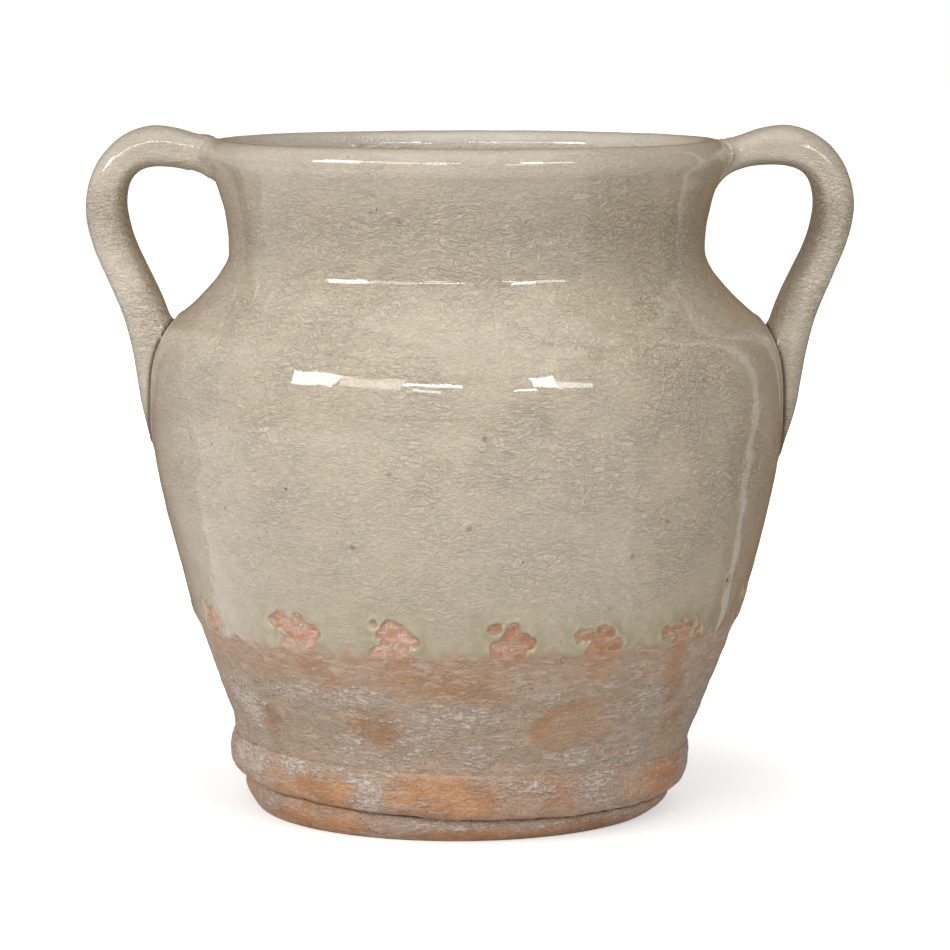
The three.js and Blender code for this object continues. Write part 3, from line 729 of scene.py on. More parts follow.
def make_glaze(material, hem_material, handle_clouds):
    """The glaze coat in three closed skins that share their border rows."""
    line = whole_clay
    low = int(np.argmax(line[:, 1] > 60))
    hem_top = int(np.argmax(line[:, 1] > 101))
    throat_row = crest + 60
    last = len(line) - 1

    def lifted(rows, columns, hem):
        spot, facing = sample(line, rows), sample(whole_out, rows)
        theta, radius = np.meshgrid(angles(columns), spot[:, 0])
        height = np.repeat(spot[:, 1:], columns, 1)
        off = out_of_true(theta, height) * smooth(radius, 20, 60)
        points = on_pot(theta, radius + off, height)
        margin, sharp = np.full(theta.shape, 20.0), 0 * theta
        if hem:
            margin, sharp = glaze_margin(theta, height)
        lift = glaze_lift(theta, height, margin, sharp, points)
        outside = np.repeat(facing[:, :1], columns, 1) > -0.2
        lift = lift + knob_lift(theta, height, radius, KNOBS) * outside
        lift = lift + knob_lift(theta, height, radius, INSIDE_KNOBS) * (1 - outside)
        return on_pot(
            theta, radius + off + lift * facing[:, :1], height + lift * facing[:, 1:]
        ), margin, sharp

    def skin(name, first, final, spacing, columns, hem=False):
        rows = rows_of(line, first, final, spacing)
        step = rows[1] - rows[0]
        ghost = np.clip(np.r_[rows[0] - step, rows, rows[-1] + step], 0, last)
        grid, margin, sharp = lifted(ghost, columns, hem)
        normals = surface_normals(grid)
        dip = np.zeros(margin.shape)
        crevice = np.zeros(margin.shape)
        if not hem and first < crest:
            crevice, dip = near_handles(grid, normals, handle_clouds)
            grid = grid + normals * dip[..., None]
            normals = surface_normals(grid)
        grid, margin, normals, crevice, sharp = (
            a[1:-1] for a in (grid, margin, normals, crevice, sharp)
        )
        back_rows = np.linspace(rows[-1], rows[0], max(3, len(rows) // 10))
        spot, facing = sample(line, back_rows), sample(whole_out, back_rows)
        back = closed_back(spot - 1.6 * facing, columns)
        hidden = np.zeros(back.shape[:2])
        masks = {"margin": margin, "crisp": sharp} if hem else {"crevice": crevice}
        masks = {mask: np.concatenate([values, hidden]) for mask, values in masks.items()}
        if hem:
            turn = np.repeat(angles(columns)[None], len(grid) + len(back), 0)
            tall = np.concatenate([grid, back])[..., 2]
            masks["rust"] = patch(turn, tall, 98, RUST)
            masks["blush"] = smooth(tall, 72, 79)
            masks["chalk"] = patch(turn, tall, 98, CHALK)
        return turned_piece(name, np.concatenate([grid, back]), hem_material if hem else material,
                            "glaze_coat", masks, normals)

    return [
        skin("glaze_hem", low, hem_top, 0.6, 1280, hem=True),
        skin("glaze_outside", hem_top, throat_row, 1.4, 640),
        skin("glaze_inside", throat_row, last, 2.2, 320),
    ]


def near_handles(grid, normals, clouds):
    """How deep each point lies in the crevice beside a handle, and how far it is raised there:
    up into the smoothed joint at the roots, and in a ridge round the pressed tails."""
    flat, facing = grid.reshape(-1, 3), normals.reshape(-1, 3)
    crevice, dip = np.zeros(len(flat)), np.zeros(len(flat))
    for side, (cloud, cloud_facing) in clouds:
        tree = KDTree(len(cloud))
        for index, point in enumerate(cloud):
            tree.insert(point, index)
        tree.balance()
        close = np.nonzero((flat[:, 0] * side > 75) & (np.abs(flat[:, 1]) < 50) & (flat[:, 2] > 130))[0]
        found = [tree.find(flat[index])[1:] for index in close]
        nearest, far = (np.array(values) for values in zip(*found))
        width = joint_width(side, cloud_facing[nearest], facing[close])
        lower = 1 - smooth(flat[close, 2], 205, 225)
        seam = ROOT_SEAM[side] * np.exp(-(((far - width / 4) / 0.5) ** 2)) * smooth(width, 1, 4)
        # Near the tails this is painted shade in the crevice; near the roots it is the seam line.
        crevice[close] = lower * np.exp(-np.clip(far - 0.3, 0, None) / 1.3) + (1 - lower) * seam
        ridge = 0.4 * np.exp(-(((far - 4.0) / 1.5) ** 2)) - 0.35 * np.exp(-((far / 1.6) ** 2))
        dip[close] = ridge * lower + joint_lift(width, far) * (1 - lower)
    shape = grid.shape[:2]
    return crevice.reshape(shape), dip.reshape(shape)


def coil_profile():
    """Coil with a flat back, fullest above its middle and as wide as the wall at its top, run
    anticlockwise from its bottom."""
    inner = FLOOR_RADIUS + CLEARANCE
    bottom = FOOT_HEIGHT - CLEARANCE
    widest = bottom + 12
    start = (inner + 1.6, bottom, math.pi / 2 - 0.1, 0, 0.35)
    full = (COIL_RADIUS - 0.1, widest, 0, 0.62, 0.5)
    top = (COIL_RADIUS - 1.1, COIL_TOP, -0.3, 0.4, 0)
    return run(bend(start, full, 60), bend(full, top, 60),
               np.array([[COIL_RADIUS - 1.1, COIL_TOP], [inner, COIL_TOP]]),
               np.array([[inner, COIL_TOP], [inner, bottom + 0.2]]),
               np.array([[inner, bottom + 0.1], [inner + 2.3, bottom]]))


def foot_profile():
    """Barrel-sided ring, run anticlockwise from the chamfer inside its bottom."""
    inner, rim, top = FOOT_RADIUS - 14.6, FOOT_RADIUS - 3.4, FOOT_RADIUS + 2.6
    t = np.linspace(0, 1, 60)[:, None]
    bulge = np.array([FOOT_RADIUS + 4.8, FOOT_HEIGHT * 0.42])
    barrel = (1 - t) ** 2 * np.array([rim, 0]) + 2 * (1 - t) * t * bulge + t * t * np.array([top, FOOT_HEIGHT])
    return run(np.array([[inner + 1.2, 0], [rim, 0]]), barrel,
               np.array([[top, FOOT_HEIGHT], [inner, FOOT_HEIGHT]]),
               np.array([[inner, FOOT_HEIGHT], [inner, 1.2], [inner + 1.0, 0.15]]))


# Smooth orange stretches of the two beads, and chalk on them
BEAD_RUST = [
    (-38, 19, 20, 7, 1.0), (-5, 18, 20, 6.5, 0.95), (62, 20, 12, 6, 0.9), (22, 20, 10, 5, 0.5),
    (-47, 4, 13, 5, 0.9), (-30, 3, 13, 4, 1.0), (6, 3, 26, 3, 0.9), (40, 4, 14, 4, 0.7),
    (100, 18, 20, 7, 0.9), (140, 20, 14, 6, 0.8), (175, 18, 22, 7, 0.9), (215, 19, 16, 7, 0.9),
    (250, 18, 18, 6, 0.8), (120, 4, 30, 4, 0.9), (200, 4, 30, 4, 0.9), (265, 4, 20, 4, 0.8),
    (-76, 16, 6, 8, 0.7),
]
BEAD_CHALK = [
    (-22, 20, 8, 12, 1.0), (-66, 25, 22, 9, 1.3), (-42, 28, 22, 4, 1.1), (-10, 8, 24, 3.2, 1.0),
    (20, 8.5, 22, 2.8, 0.9), (45, 11, 16, 4, 0.9), (14, 25, 14, 4, 0.6), (34, 25, 14, 5, 0.8),
    (-60, 8, 12, 4, 0.7), (-18, 4, 9, 4, 0.8), (38, 19, 12, 6, 0.6), (85, 24, 16, 6, 0.8),
    (125, 26, 20, 5, 0.8), (160, 9, 20, 3, 0.9), (195, 25, 18, 5, 0.9), (235, 10, 20, 4, 0.8),
    (275, 22, 16, 8, 0.9),
]


def make_bead(name, node, profile, columns, seed, material, tilt):
    """A bead of clay run round the pot: uneven, grained, and flat where it is pressed on."""
    keep = rows_of(profile, 0, len(profile) - 1, 0.85)
    line, facing = sample(profile, keep), sample(outward(profile), keep)
    theta, radius = np.meshgrid(angles(columns), line[:, 0])
    height = np.repeat(line[:, 1:], columns, 1)
    points = on_pot(theta, radius, height)
    outer = smooth(radius, radius.max() - 11, radius.max() - 5) * smooth(height, 0.2, 2.2)
    chalk = patch(theta, height, radius.max(), BEAD_CHALK)
    grain = lumps(points, 1.7, seed)
    broken = smooth(lumps(points * [1, 1, 1.5], 2.4, seed + 1) + 0.4 * grain, 0.0, 0.5)
    lift = 0.4 * lumps(points, 13, seed + 2) + 0.2 * lumps(points, 5, seed + 3) - 0.4
    lift = lift + (0.06 + 0.1 * chalk) * grain + 0.28 * chalk * broken
    lift = lift - 0.4 * smooth(lumps(points, 2.2, seed + 4), 0.66, 0.86)
    level = (height - height.min()) / np.ptp(height)
    lift = lift * (1 - 0.8 * smooth(level, 0.8, 1))
    lift = np.minimum(lift * outer, 0.3)
    height = height + tilt(theta, level) * outer
    grid = on_pot(theta, radius + lift * facing[:, :1], height + lift * facing[:, 1:])
    masks = {"rust": patch(theta, height, radius.max(), BEAD_RUST), "chalk": chalk}
    return turned_piece(name, grid, material, node, masks)


def make_floor_disc(material):
    profile = np.array([
        [PIN, FOOT_HEIGHT + 0.05], [20, FOOT_HEIGHT + 0.05], [45, FOOT_HEIGHT + 0.05],
        [66, FOOT_HEIGHT + 0.05], [FLOOR_RADIUS - 0.6, FOOT_HEIGHT + 0.05],
        [FLOOR_RADIUS, FOOT_HEIGHT + 0.6], [FLOOR_RADIUS, FLOOR_TOP - 0.4],
        [60, FLOOR_TOP - 0.4], [30, FLOOR_TOP - 0.4], [PIN, FLOOR_TOP - 0.4],
    ])
    fine = run(profile)[::6]
    grid = closed_back(fine, 240)
    radius = np.hypot(grid[..., 0] + 3, grid[..., 1])
    under = (grid[..., 2] < FOOT_HEIGHT + 0.3) & (radius < 78)
    swirl = 0.25 * np.sin(radius / 1.9 + np.arctan2(grid[..., 1], grid[..., 0])) * smooth(radius, 2, 14)
    grid[..., 2] += under * (0.25 + swirl + 0.2 * lumps(grid, 4, 71)) * (1 - smooth(radius, 60, 76))
    masks = {"rust": 0.5 + 0.4 * lumps(grid, 18, 72), "chalk": 0.4 + 0.4 * lumps(grid, 9, 73)}
    return turned_piece("floor_disc", grid, material, "base_slab", masks)


def make_neck_clay(material):
    """The clay under the neck's glaze, a little inside it all over."""
    first = int(np.argmax(whole_clay[:, 1] > SEAM_HEIGHT))
    inner = np.nonzero(whole_clay[crest:, 1] > SEAM_HEIGHT)[0][-1] + crest
    loop = whole_clay[first:inner:9] - 0.7 * whole_out[first:inner:9]
    grid = closed_back(loop, 240)
    masks = {"rust": 0.5 + 0 * grid[..., 0], "chalk": 0.2 + 0 * grid[..., 0]}
    return turned_piece("neck_clay", grid, material, "neck_collar", masks)


# Loose crumbs fused to the bare wall: degrees from the front, height, size
CRUMBS = [
    (0.1, 67.1, 1.5), (-3.9, 68.9, 0.9), (-5.2, 66.4, 0.8), (-4.7, 72.1, 0.7), (17.4, 66.0, 1.5),
    (19.8, 74.2, 1.9), (19.0, 73.9, 1.4), (-16.3, 73.0, 1.2), (-16.9, 75.2, 0.8),
    (15.9, 62.8, 0.9), (-22.5, 60.6, 1.3), (-29.7, 30.2, 0.8), (24.0, 35.0, 0.9),
    (112, 66, 1.4), (150, 58, 1.1), (188, 70, 1.5), (231, 64, 1.2), (258, 52, 1.0),
]


def make_crumbs(material):
    turn = np.linspace(0, 2 * math.pi, 14, endpoint=False)
    tilt = np.linspace(-math.pi / 2, math.pi / 2, 9)[1:-1]
    points, faces = [], []
    for degrees, level, size in CRUMBS:
        theta = math.radians(degrees)
        reach = np.interp(level, outside_clay[:, 1], outside_clay[:, 0])
        reach = reach + float(out_of_true(np.array(theta), np.array(float(level))))
        centre = on_pot(np.array(theta), reach, np.array(float(level)))
        ring = [
            (math.cos(t) * math.cos(a), math.cos(t) * math.sin(a), math.sin(t))
            for t in tilt for a in turn
        ]
        ball = np.array([(0, 0, -1)] + ring + [(0, 0, 1)])
        ball = ball * (1 + 0.3 * lumps(ball * 2 + centre, 1.3, 81))[:, None]
        ball = ball * np.array([size, size, size * 0.72]) * 0.5
        base = len(points)
        points.extend((centre + ball).tolist())
        n, rings = len(turn), len(tilt)
        faces.extend([base, base + 1 + (k + 1) % n, base + 1 + k] for k in range(n))
        for row in range(rings - 1):
            start = base + 1 + row * n
            faces.extend(
                [start + k, start + (k + 1) % n, start + n + (k + 1) % n, start + n + k]
                for k in range(n)
            )
        start, top = base + 1 + (rings - 1) * n, base + 1 + rings * n
        faces.extend([top, start + k, start + (k + 1) % n] for k in range(n))
    count = len(points)
    masks = {"rust": np.full(count, 0.35), "chalk": np.full(count, 0.8)}
    return make_piece("clay_crumbs", np.array(points), faces, material, None,
                      masks=masks)


# Materials
class Wire:
    """A shader socket that Python's operators turn into Math nodes."""

    def __init__(self, finish, socket):
        self.finish, self.socket = finish, socket

    def _sum(self, operation, a, b):
        return self.finish.add("ShaderNodeMath", {"operation": operation}, {0: a, 1: b})

    def __add__(self, other):
        return self._sum("ADD", self, other)

    def __sub__(self, other):
        return self._sum("SUBTRACT", self, other)

    def __rsub__(self, other):
        return self._sum("SUBTRACT", other, self)

    def __mul__(self, other):
        return self._sum("MULTIPLY", self, other)

    __radd__, __rmul__ = __add__, __mul__

    def __abs__(self):
        return self._sum("ABSOLUTE", self, 0)

    def highest(self, other):
        return self._sum("MAXIMUM", self, other)

    def lowest(self, other):
        return self._sum("MINIMUM", self, other)


class Finish:
    """A material, or the world, under construction."""

    def __init__(self, name, tree=None):
        if tree is None:
            self.material = bpy.data.materials.new(name)
            self.material.use_nodes = True
            tree = self.material.node_tree
        self.tree = tree
        self.tree.nodes.clear()
        place = self.add("ShaderNodeTexCoord", {}, {}, "Object")
        self.place = self.add("ShaderNodeVectorMath", {"operation": "SCALE"}, {0: place, "Scale": 1 / MM})

    def add(self, kind, settings, sockets, output=0):
        """Adds a node: its settings first, then the values or links of its sockets."""
        node = self.tree.nodes.new(kind)
        for setting, value in settings.items():
            if setting == "stops":
                self._stops(node.color_ramp, value)
            else:
                setattr(node, setting, value)
        for key, value in sockets.items():
            if isinstance(value, Wire):
                self.tree.links.new(value.socket, node.inputs[key])
            else:
                node.inputs[key].default_value = value
        return Wire(self, node.outputs[output]) if len(node.outputs) else node

    @staticmethod
    def _stops(ramp, stops):
        while len(ramp.elements) < len(stops):
            ramp.elements.new(1.0)
        for element, (position, colour) in zip(ramp.elements, stops):
            element.position, element.color = position, colour

    def step(self, value, low, high):
        """0 below low, 1 above high, smooth between them."""
        return self.add(
            "ShaderNodeMapRange",
            {"interpolation_type": "SMOOTHSTEP"},
            {"Value": value, "From Min": low, "From Max": high},
        )

    def noise(self, size, detail=2.0, squash=(1, 1, 1), distortion=0.0):
        """Noise from 0 to 1 whose lumps are about size millimetres across."""
        place = self.place
        if squash != (1, 1, 1):
            place = self.add("ShaderNodeVectorMath", {"operation": "MULTIPLY"}, {0: place, 1: squash})
        return self.add("ShaderNodeTexNoise", {}, {
            "Vector": place, "Scale": 1 / size, "Detail": detail, "Distortion": distortion,
        })

    def mask(self, name):
        return self.add("ShaderNodeAttribute", {"attribute_name": name}, {}, "Fac")

    def mix(self, share, first, second):
        """Colour between two colours."""
        return self.add("ShaderNodeMix", {"data_type": "RGBA"}, {0: share, 6: first, 7: second}, 2)

    def bump(self, height):
        """Normal from a height in millimetres."""
        return self.add("ShaderNodeBump", {}, {"Strength": 1.0, "Distance": MM, "Height": height})

    def show(self, shader):
        self.add("ShaderNodeOutputMaterial", {}, {"Surface": shader})
        return self.material


def tone(red, green, blue):
    """Linear colour from the usual 0 to 255 numbers."""
    def linear(value):
        value /= 255
        return value / 12.92 if value <= 0.04045 else ((value + 0.055) / 1.055) ** 2.4

    return (linear(red), linear(green), linear(blue), 1.0)


def crackle_lines(finish, cell, width, warp, squash):
    """Lines along the cracks of a glaze, 1 on a line, with cells of about the given size."""
    drift = finish.add("ShaderNodeTexNoise", {}, {
        "Vector": finish.place, "Scale": 1 / (cell * 2.4), "Detail": 2.0,
    }, "Color")
    drift = finish.add("ShaderNodeVectorMath", {"operation": "SCALE"}, {0: drift, "Scale": warp})
    place = finish.add("ShaderNodeVectorMath", {"operation": "ADD"}, {0: finish.place, 1: drift})
    flat = finish.add("ShaderNodeVectorMath", {"operation": "MULTIPLY"}, {0: place, 1: (1, 1, squash)})
    edge = finish.add("ShaderNodeTexVoronoi", {"feature": "DISTANCE_TO_EDGE"}, {
        "Vector": flat, "Scale": 1 / cell,
    })
    return 1 - finish.step(edge, 0.0, width / cell)


def ripple_lines(finish, size, squash):
    """Winding lines, 1 on a line, as the glaze crawled in ripples of about the given size."""
    level = finish.noise(size, 2.0, (1, 1, squash), 0.9)
    return 1 - finish.step(abs(level - 0.5), 0.0, 0.06)


def glaze_layers(finish):
    """Shader of the glossy crackled glaze."""
    blotch = finish.noise(38, 3.0, (1, 1, 1.3))
    cloud = finish.noise(9, 4.0, (1, 1, 1.6))
    bands = finish.noise(9, 2.0, (0.12, 0.12, 1.0))
    peel = finish.noise(1.7, 3.0)
    grain = finish.noise(0.7, 2.0)
    worms = finish.noise(3.0, 2.0, (1, 1, 2.0), 1.4)
    cells = crackle_lines(finish, 6.4, 0.75, 14.0, 3.0)
    wide = cells.highest(ripple_lines(finish, 7.0, 2.6) * 0.9)
    close = ripple_lines(finish, 3.4, 2.0)
    swell = finish.noise(9, 2.0)
    crevice = finish.mask("crevice")
    tall = finish.add("ShaderNodeSeparateXYZ", {}, {0: finish.place}, 2)
    on_neck = finish.step(tall, 208, 234) * (1 - finish.step(tall, 238, 262))
    lip = finish.step(tall, 244, 264)
    patchy = finish.step(finish.noise(26, 2.0), 0.34, 0.66)
    low = 1 - finish.step(tall, 70, 132)
    strength = (patchy * 0.45 + 0.45).highest(on_neck) * (1 - lip * 0.6) * (1 - low * 0.5)

    round_way = finish.add("ShaderNodeVectorMath", {"operation": "MULTIPLY"}, {
        0: finish.place, 1: (1, 1, 0),
    })
    radius = finish.add("ShaderNodeVectorMath", {"operation": "LENGTH"}, {0: round_way}, "Value")
    within = (1 - finish.step(radius, 92, 98)) * finish.step(tall, 238, 250)

    warm = finish.mix(finish.step(cloud * 0.45 + blotch * 0.55, 0.40, 0.62), tone(185, 175, 154), tone(194, 181, 157))
    rosy = finish.mix(finish.step(finish.noise(6.5, 3.0), 0.50, 0.70) * 0.3, warm, tone(204, 182, 158))
    pale = finish.mix(finish.step(bands * 0.6 + blotch * 0.4, 0.48, 0.66) * 0.3, rosy, tone(202, 193, 176))
    creamy = finish.mix(finish.step(finish.noise(1.3, 3.0, (0.7, 0.7, 1.3)), 0.48, 0.68) * 0.42, pale, tone(218, 208, 189))
    flecked = finish.mix(finish.step(grain, 0.52, 0.70) * 0.36, creamy, tone(156, 141, 115))
    handle = finish.mask("handle")
    ochre = finish.step(finish.noise(7, 3.0, (1, 1, 1.8)), 0.46, 0.62) * handle
    across = finish.add("ShaderNodeSeparateXYZ", {}, {0: finish.place}, 0)
    # Painted light: the shoulder's left side is lightened, as the lamps from the left light it more.
    shoulder = finish.step(tall, 178, 194) * (1 - finish.step(tall, 204, 226)) * (1 - handle)
    flecked = finish.mix(shoulder * (1 - finish.step(across, -100, -20)) * 0.4, flecked, tone(220, 209, 190))
    # Painted light: the handles are lightened, more on their upper part, for the light that falls on them.
    upright = handle * (1 - finish.step(tall, 246, 264))
    painted_lit_handles = finish.mix(upright * (0.3 + finish.step(tall, 192, 214) * 0.4), flecked, tone(222, 212, 194))
    mottled = finish.mix(ochre * 0.3, painted_lit_handles, tone(182, 158, 124))
    # Painted shade: the handles' flatter inner faces are darkened.
    inner_face_painted_shade = finish.mix(finish.mask("inner_face") * handle * 0.5, mottled, tone(140, 130, 116))
    olive = finish.mix(low * 0.3, inner_face_painted_shade, tone(150, 137, 106))
    # Painted shade: the neck under the lip is darkened.
    shaded = finish.mix(on_neck * 0.38, olive, tone(154, 141, 114))
    rimmed = finish.mix(lip * 0.3, shaded, tone(180, 178, 170))
    # Painted light: the inside wall just below the lip is lightened.
    lit = finish.mix(within * 0.55, rimmed, tone(220, 213, 201))
    # Pale glaze along the crackle ridges, partly a painted highlight where the raised ridges catch the light.
    flank = (wide * (1 - wide) + close * (1 - close) * 0.6) * strength
    edged = finish.mix(flank * 1.2, lit, tone(224, 214, 195))
    cracks = finish.step(wide, 0.7, 1.0) * 0.26 + finish.step(close, 0.7, 1.0) * 0.14
    lined = finish.mix(cracks * strength, edged, tone(140, 120, 93))
    # Painted shade in the crevices beside the handles' tails, and the darker seam line round their roots.
    crevice_shade_and_seam = finish.mix(finish.step(crevice, 0.15, 0.75) * 0.88, lined, tone(74, 56, 34))
    spots = finish.add("ShaderNodeTexVoronoi", {"feature": "F1"}, {"Vector": finish.place, "Scale": 1 / 13})
    specked = finish.mix((1 - finish.step(spots, 0.018, 0.045)) * 0.7, crevice_shade_and_seam, tone(92, 66, 44))
    coloured = finish.knob_colour(specked)

    ridge = (wide * 0.42 + close * 0.24) * strength
    height = peel * 0.16 + worms * 0.26 + grain * 0.05 + swell * 0.2 + ridge
    return finish.add("ShaderNodeBsdfPrincipled", {}, {
        "Base Color": coloured,
        "Roughness": 0.30 + 0.14 * grain,
        "IOR": 1.4,
        "Specular IOR Level": 0.12,
        "Coat Weight": 1.0 - 0.5 * crevice,
        "Coat Roughness": 0.03,
        "Coat IOR": 1.5,
        "Normal": finish.bump(height),
    })


def knob_colour(finish, colour):
    """Brown rings and dark middles on the knobs and pits of the glaze's front."""
    ragged = (finish.noise(1.1, 2.0) - 0.5) * 2.2
    for degrees, level, size, lift in KNOBS[:24]:
        theta = math.radians(degrees)
        reach = np.interp(level, whole_clay[:crest, 1], whole_clay[:crest, 0]) + GLAZE
        level = level - sag(theta, level)
        centre = on_pot(np.array(theta), float(reach), np.array(float(level)))
        far = finish.add("ShaderNodeVectorMath", {"operation": "DISTANCE"}, {
            0: finish.place, 1: tuple(float(c) for c in centre),
        }, "Value")
        dark = 1 - finish.step(far + ragged, size * 0.3, size * (1.25 if lift > 0 else 0.9))
        tint = tone(118, 88, 58) if lift > 0 else tone(64, 46, 34)
        colour = finish.mix(dark * (0.55 if lift > 0 else 0.85), colour, tint)
    return colour


Finish.knob_colour = knob_colour


def clay_layers(finish, rusty):
    """Shader of bare clay: red body, grey-pink wash, chalk, scoring. Rusty is how red it starts:
    0 on the wall, and more on the beads, which are a brighter orange."""
    rust, chalk, blush = (finish.mask(name) for name in ("rust", "chalk", "blush"))
    blotch = finish.noise(14, 4.0, (1, 1, 1.5))
    patchy = finish.noise(5, 4.0, (1, 1, 1.7))
    streaks = finish.noise(2.4, 5.0, (0.34, 0.34, 1.5), 0.6)
    fine_streaks = finish.noise(1.3, 4.0, (0.3, 0.3, 1.5), 0.5)
    crumbs = finish.noise(1.6, 5.0, (1, 1, 1.3))
    grain = finish.noise(0.45, 3.0)
    pores = finish.step(finish.noise(0.9, 2.0), 0.66, 0.74)

    flakes = finish.noise(1.5, 4.0, (0.55, 0.55, 1.5), 0.8)
    crusted = finish.step(finish.noise(17, 3.0, (1, 1, 1.6)), 0.38, 0.66)

    reds = (tone(182, 130, 88), tone(207, 153, 109)) if rusty else (tone(164, 121, 83), tone(188, 144, 108))
    red = finish.mix(finish.step(blotch, 0.38, 0.64), *reds)
    washes = (tone(182, 152, 128), tone(206, 176, 154)) if rusty else (tone(168, 152, 130), tone(191, 166, 144))
    bloom = finish.mix(finish.step(patchy, 0.34, 0.66), *washes)
    tall = finish.add("ShaderNodeSeparateXYZ", {}, {0: finish.place}, 2)
    smeared = finish.step(tall + patchy * 8, 62, 72) * (1 - blush)
    bared = finish.step(rust * 0.85 + patchy * 0.42 + blotch * 0.32 + rusty, 0.42, 1.05)
    tanned = finish.mix(bared * (0.9 if rusty else 0.78), bloom, red)
    base = finish.step(tall + (patchy - 0.5) * 14, 22, 32) if rusty else 1 - finish.step(tall + (patchy - 0.5) * 14, 26, 42)
    met = finish.mix(base * 0.5, tanned, tone(186, 158, 134))
    rosy = finish.mix(smeared * 0.34, met, tone(182, 150, 128))
    under = finish.mix(finish.step(chalk * 0.6 + crusted * 0.4, 0.3, 0.8) * 0.4, rosy, tone(172, 134, 104))
    east = finish.step(finish.add("ShaderNodeSeparateXYZ", {}, {0: finish.place}, 0), -8, 24)
    pink = finish.mix(finish.step(patchy, 0.36, 0.62), tone(196, 146, 116), tone(214, 172, 152))
    brown = finish.mix(finish.step(patchy, 0.36, 0.62), tone(172, 122, 88), tone(190, 142, 110))
    body = finish.mix(blush, under, finish.mix(east, pink, brown))
    streaked = finish.mix(finish.step(streaks + crusted * 0.08, 0.54, 0.70) * 0.5, body, tone(208, 194, 184))
    scored_lines = finish.mix(finish.step(1 - fine_streaks, 0.56, 0.72) * 0.42, streaked, tone(146, 116, 92))
    crust = finish.step(chalk * 0.16 + crusted * 0.1 + crumbs * 0.6 + flakes * 0.8 - (blush + smeared) * 0.16, 0.74, 1.0)
    # Painted shade in the gaps between chalk flakes.
    flake_gap_shade = finish.step(1 - flakes, 0.52, 0.66) * finish.step(chalk * 0.5 + crusted * 0.5, 0.2, 0.7)
    flake_gap_shaded = finish.mix(flake_gap_shade * 0.34, scored_lines, tone(124, 102, 80))
    powder = finish.step(chalk * 0.8 + patchy * 0.5 + crusted * 0.2, 0.45, 1.25) * (1 - blush)
    powdered = finish.mix(powder * 0.55, flake_gap_shaded, tone(205, 188, 170))
    chalky = finish.mix(crust * 0.6, powdered, tone(225, 215, 205))
    squiggles = finish.mix(crackle_lines(finish, 3.2, 0.4, 6.0, 1.2) * finish.step(patchy, 0.42, 0.6) * blush * (1 - east * 0.8) * 0.6, chalky, tone(232, 214, 198))
    grainy = finish.mix(finish.step(grain, 0.52, 0.72) * 0.4, squiggles, tone(228, 214, 202))
    pored = finish.mix(pores * 0.5, grainy, tone(112, 84, 66))

    height = streaks * 0.4 + crumbs * 0.6 + flakes * 0.6 + grain * 0.2 + crust * 0.5 - pores * 0.3
    return finish.add("ShaderNodeBsdfPrincipled", {}, {
        "Base Color": pored,
        "Roughness": 0.86 + 0.1 * crust,
        "IOR": 1.4,
        "Specular IOR Level": 0.3,
        "Normal": finish.bump(height),
    })


def glaze_finish():
    finish = Finish("crackled_glaze")
    return finish.show(glaze_layers(finish))


def clay_finish(name, rusty):
    finish = Finish(name)
    return finish.show(clay_layers(finish, rusty))


def hem_finish():
    """The glaze near its lower edge: greener and thicker, cream on its rolled rims, and thinned
    into the clay's own wash where it ends without a rim."""
    finish = Finish("glaze_hem")
    margin, crisp = finish.mask("margin"), finish.mask("crisp")
    ragged = margin + (finish.noise(2.6, 3.0) - 0.5) * (6.5 - 4.3 * crisp)
    glaze = glaze_layers(finish)
    pool = finish.add("ShaderNodeBsdfPrincipled", {}, {
        "Base Color": finish.mix(
            finish.step(finish.noise(5, 3.0), 0.4, 0.65), tone(158, 149, 118), tone(178, 166, 138)
        ),
        "Roughness": 0.3,
        "IOR": 1.4,
        "Coat Weight": 0.8,
        "Coat Roughness": 0.06,
        "Coat IOR": 1.42,
        "Normal": finish.bump(finish.noise(1.5, 3.0) * 0.12),
    })
    rim = finish.add("ShaderNodeBsdfPrincipled", {}, {
        "Base Color": finish.mix(
            finish.step(finish.noise(1.6, 2.0), 0.42, 0.62), tone(204, 192, 168), tone(198, 172, 148)
        ),
        "Roughness": 0.35,
        "Coat Weight": 0.5,
        "Coat Roughness": 0.1,
        "Normal": finish.bump(finish.noise(1.2, 3.0) * 0.1),
    })
    wash = clay_layers(finish, 0.0)
    tall = finish.add("ShaderNodeSeparateXYZ", {}, {0: finish.place}, 2)
    deep = finish.step(margin + finish.noise(9, 2.0) * 8, 4, 16).highest(finish.step(tall, 84, 98))
    body = finish.add("ShaderNodeMixShader", {}, {0: deep, 1: pool, 2: glaze})
    rolled = crisp * (1 - finish.step(ragged, 0.5, 1.8)) * finish.step(finish.noise(4, 1.0), 0.40, 0.62) * 0.8
    rimmed = finish.add("ShaderNodeMixShader", {}, {0: rolled, 1: body, 2: rim})
    bare = finish.step(ragged, -0.6 - 0.6 * (1 - crisp), 0.6 + 8.5 * (1 - crisp))
    edged = finish.add("ShaderNodeMixShader", {}, {0: bare, 1: wash, 2: rimmed})
    return finish.show(edged)


def background_rays(add):
    """1 for the rays that see the background: the camera's, and those off glaze or through glass."""
    kinds = [add("ShaderNodeLightPath", {}, {}, kind)
             for kind in ("Is Camera Ray", "Is Glossy Ray", "Is Transmission Ray")]
    return kinds[0].highest(kinds[1]).highest(kinds[2])


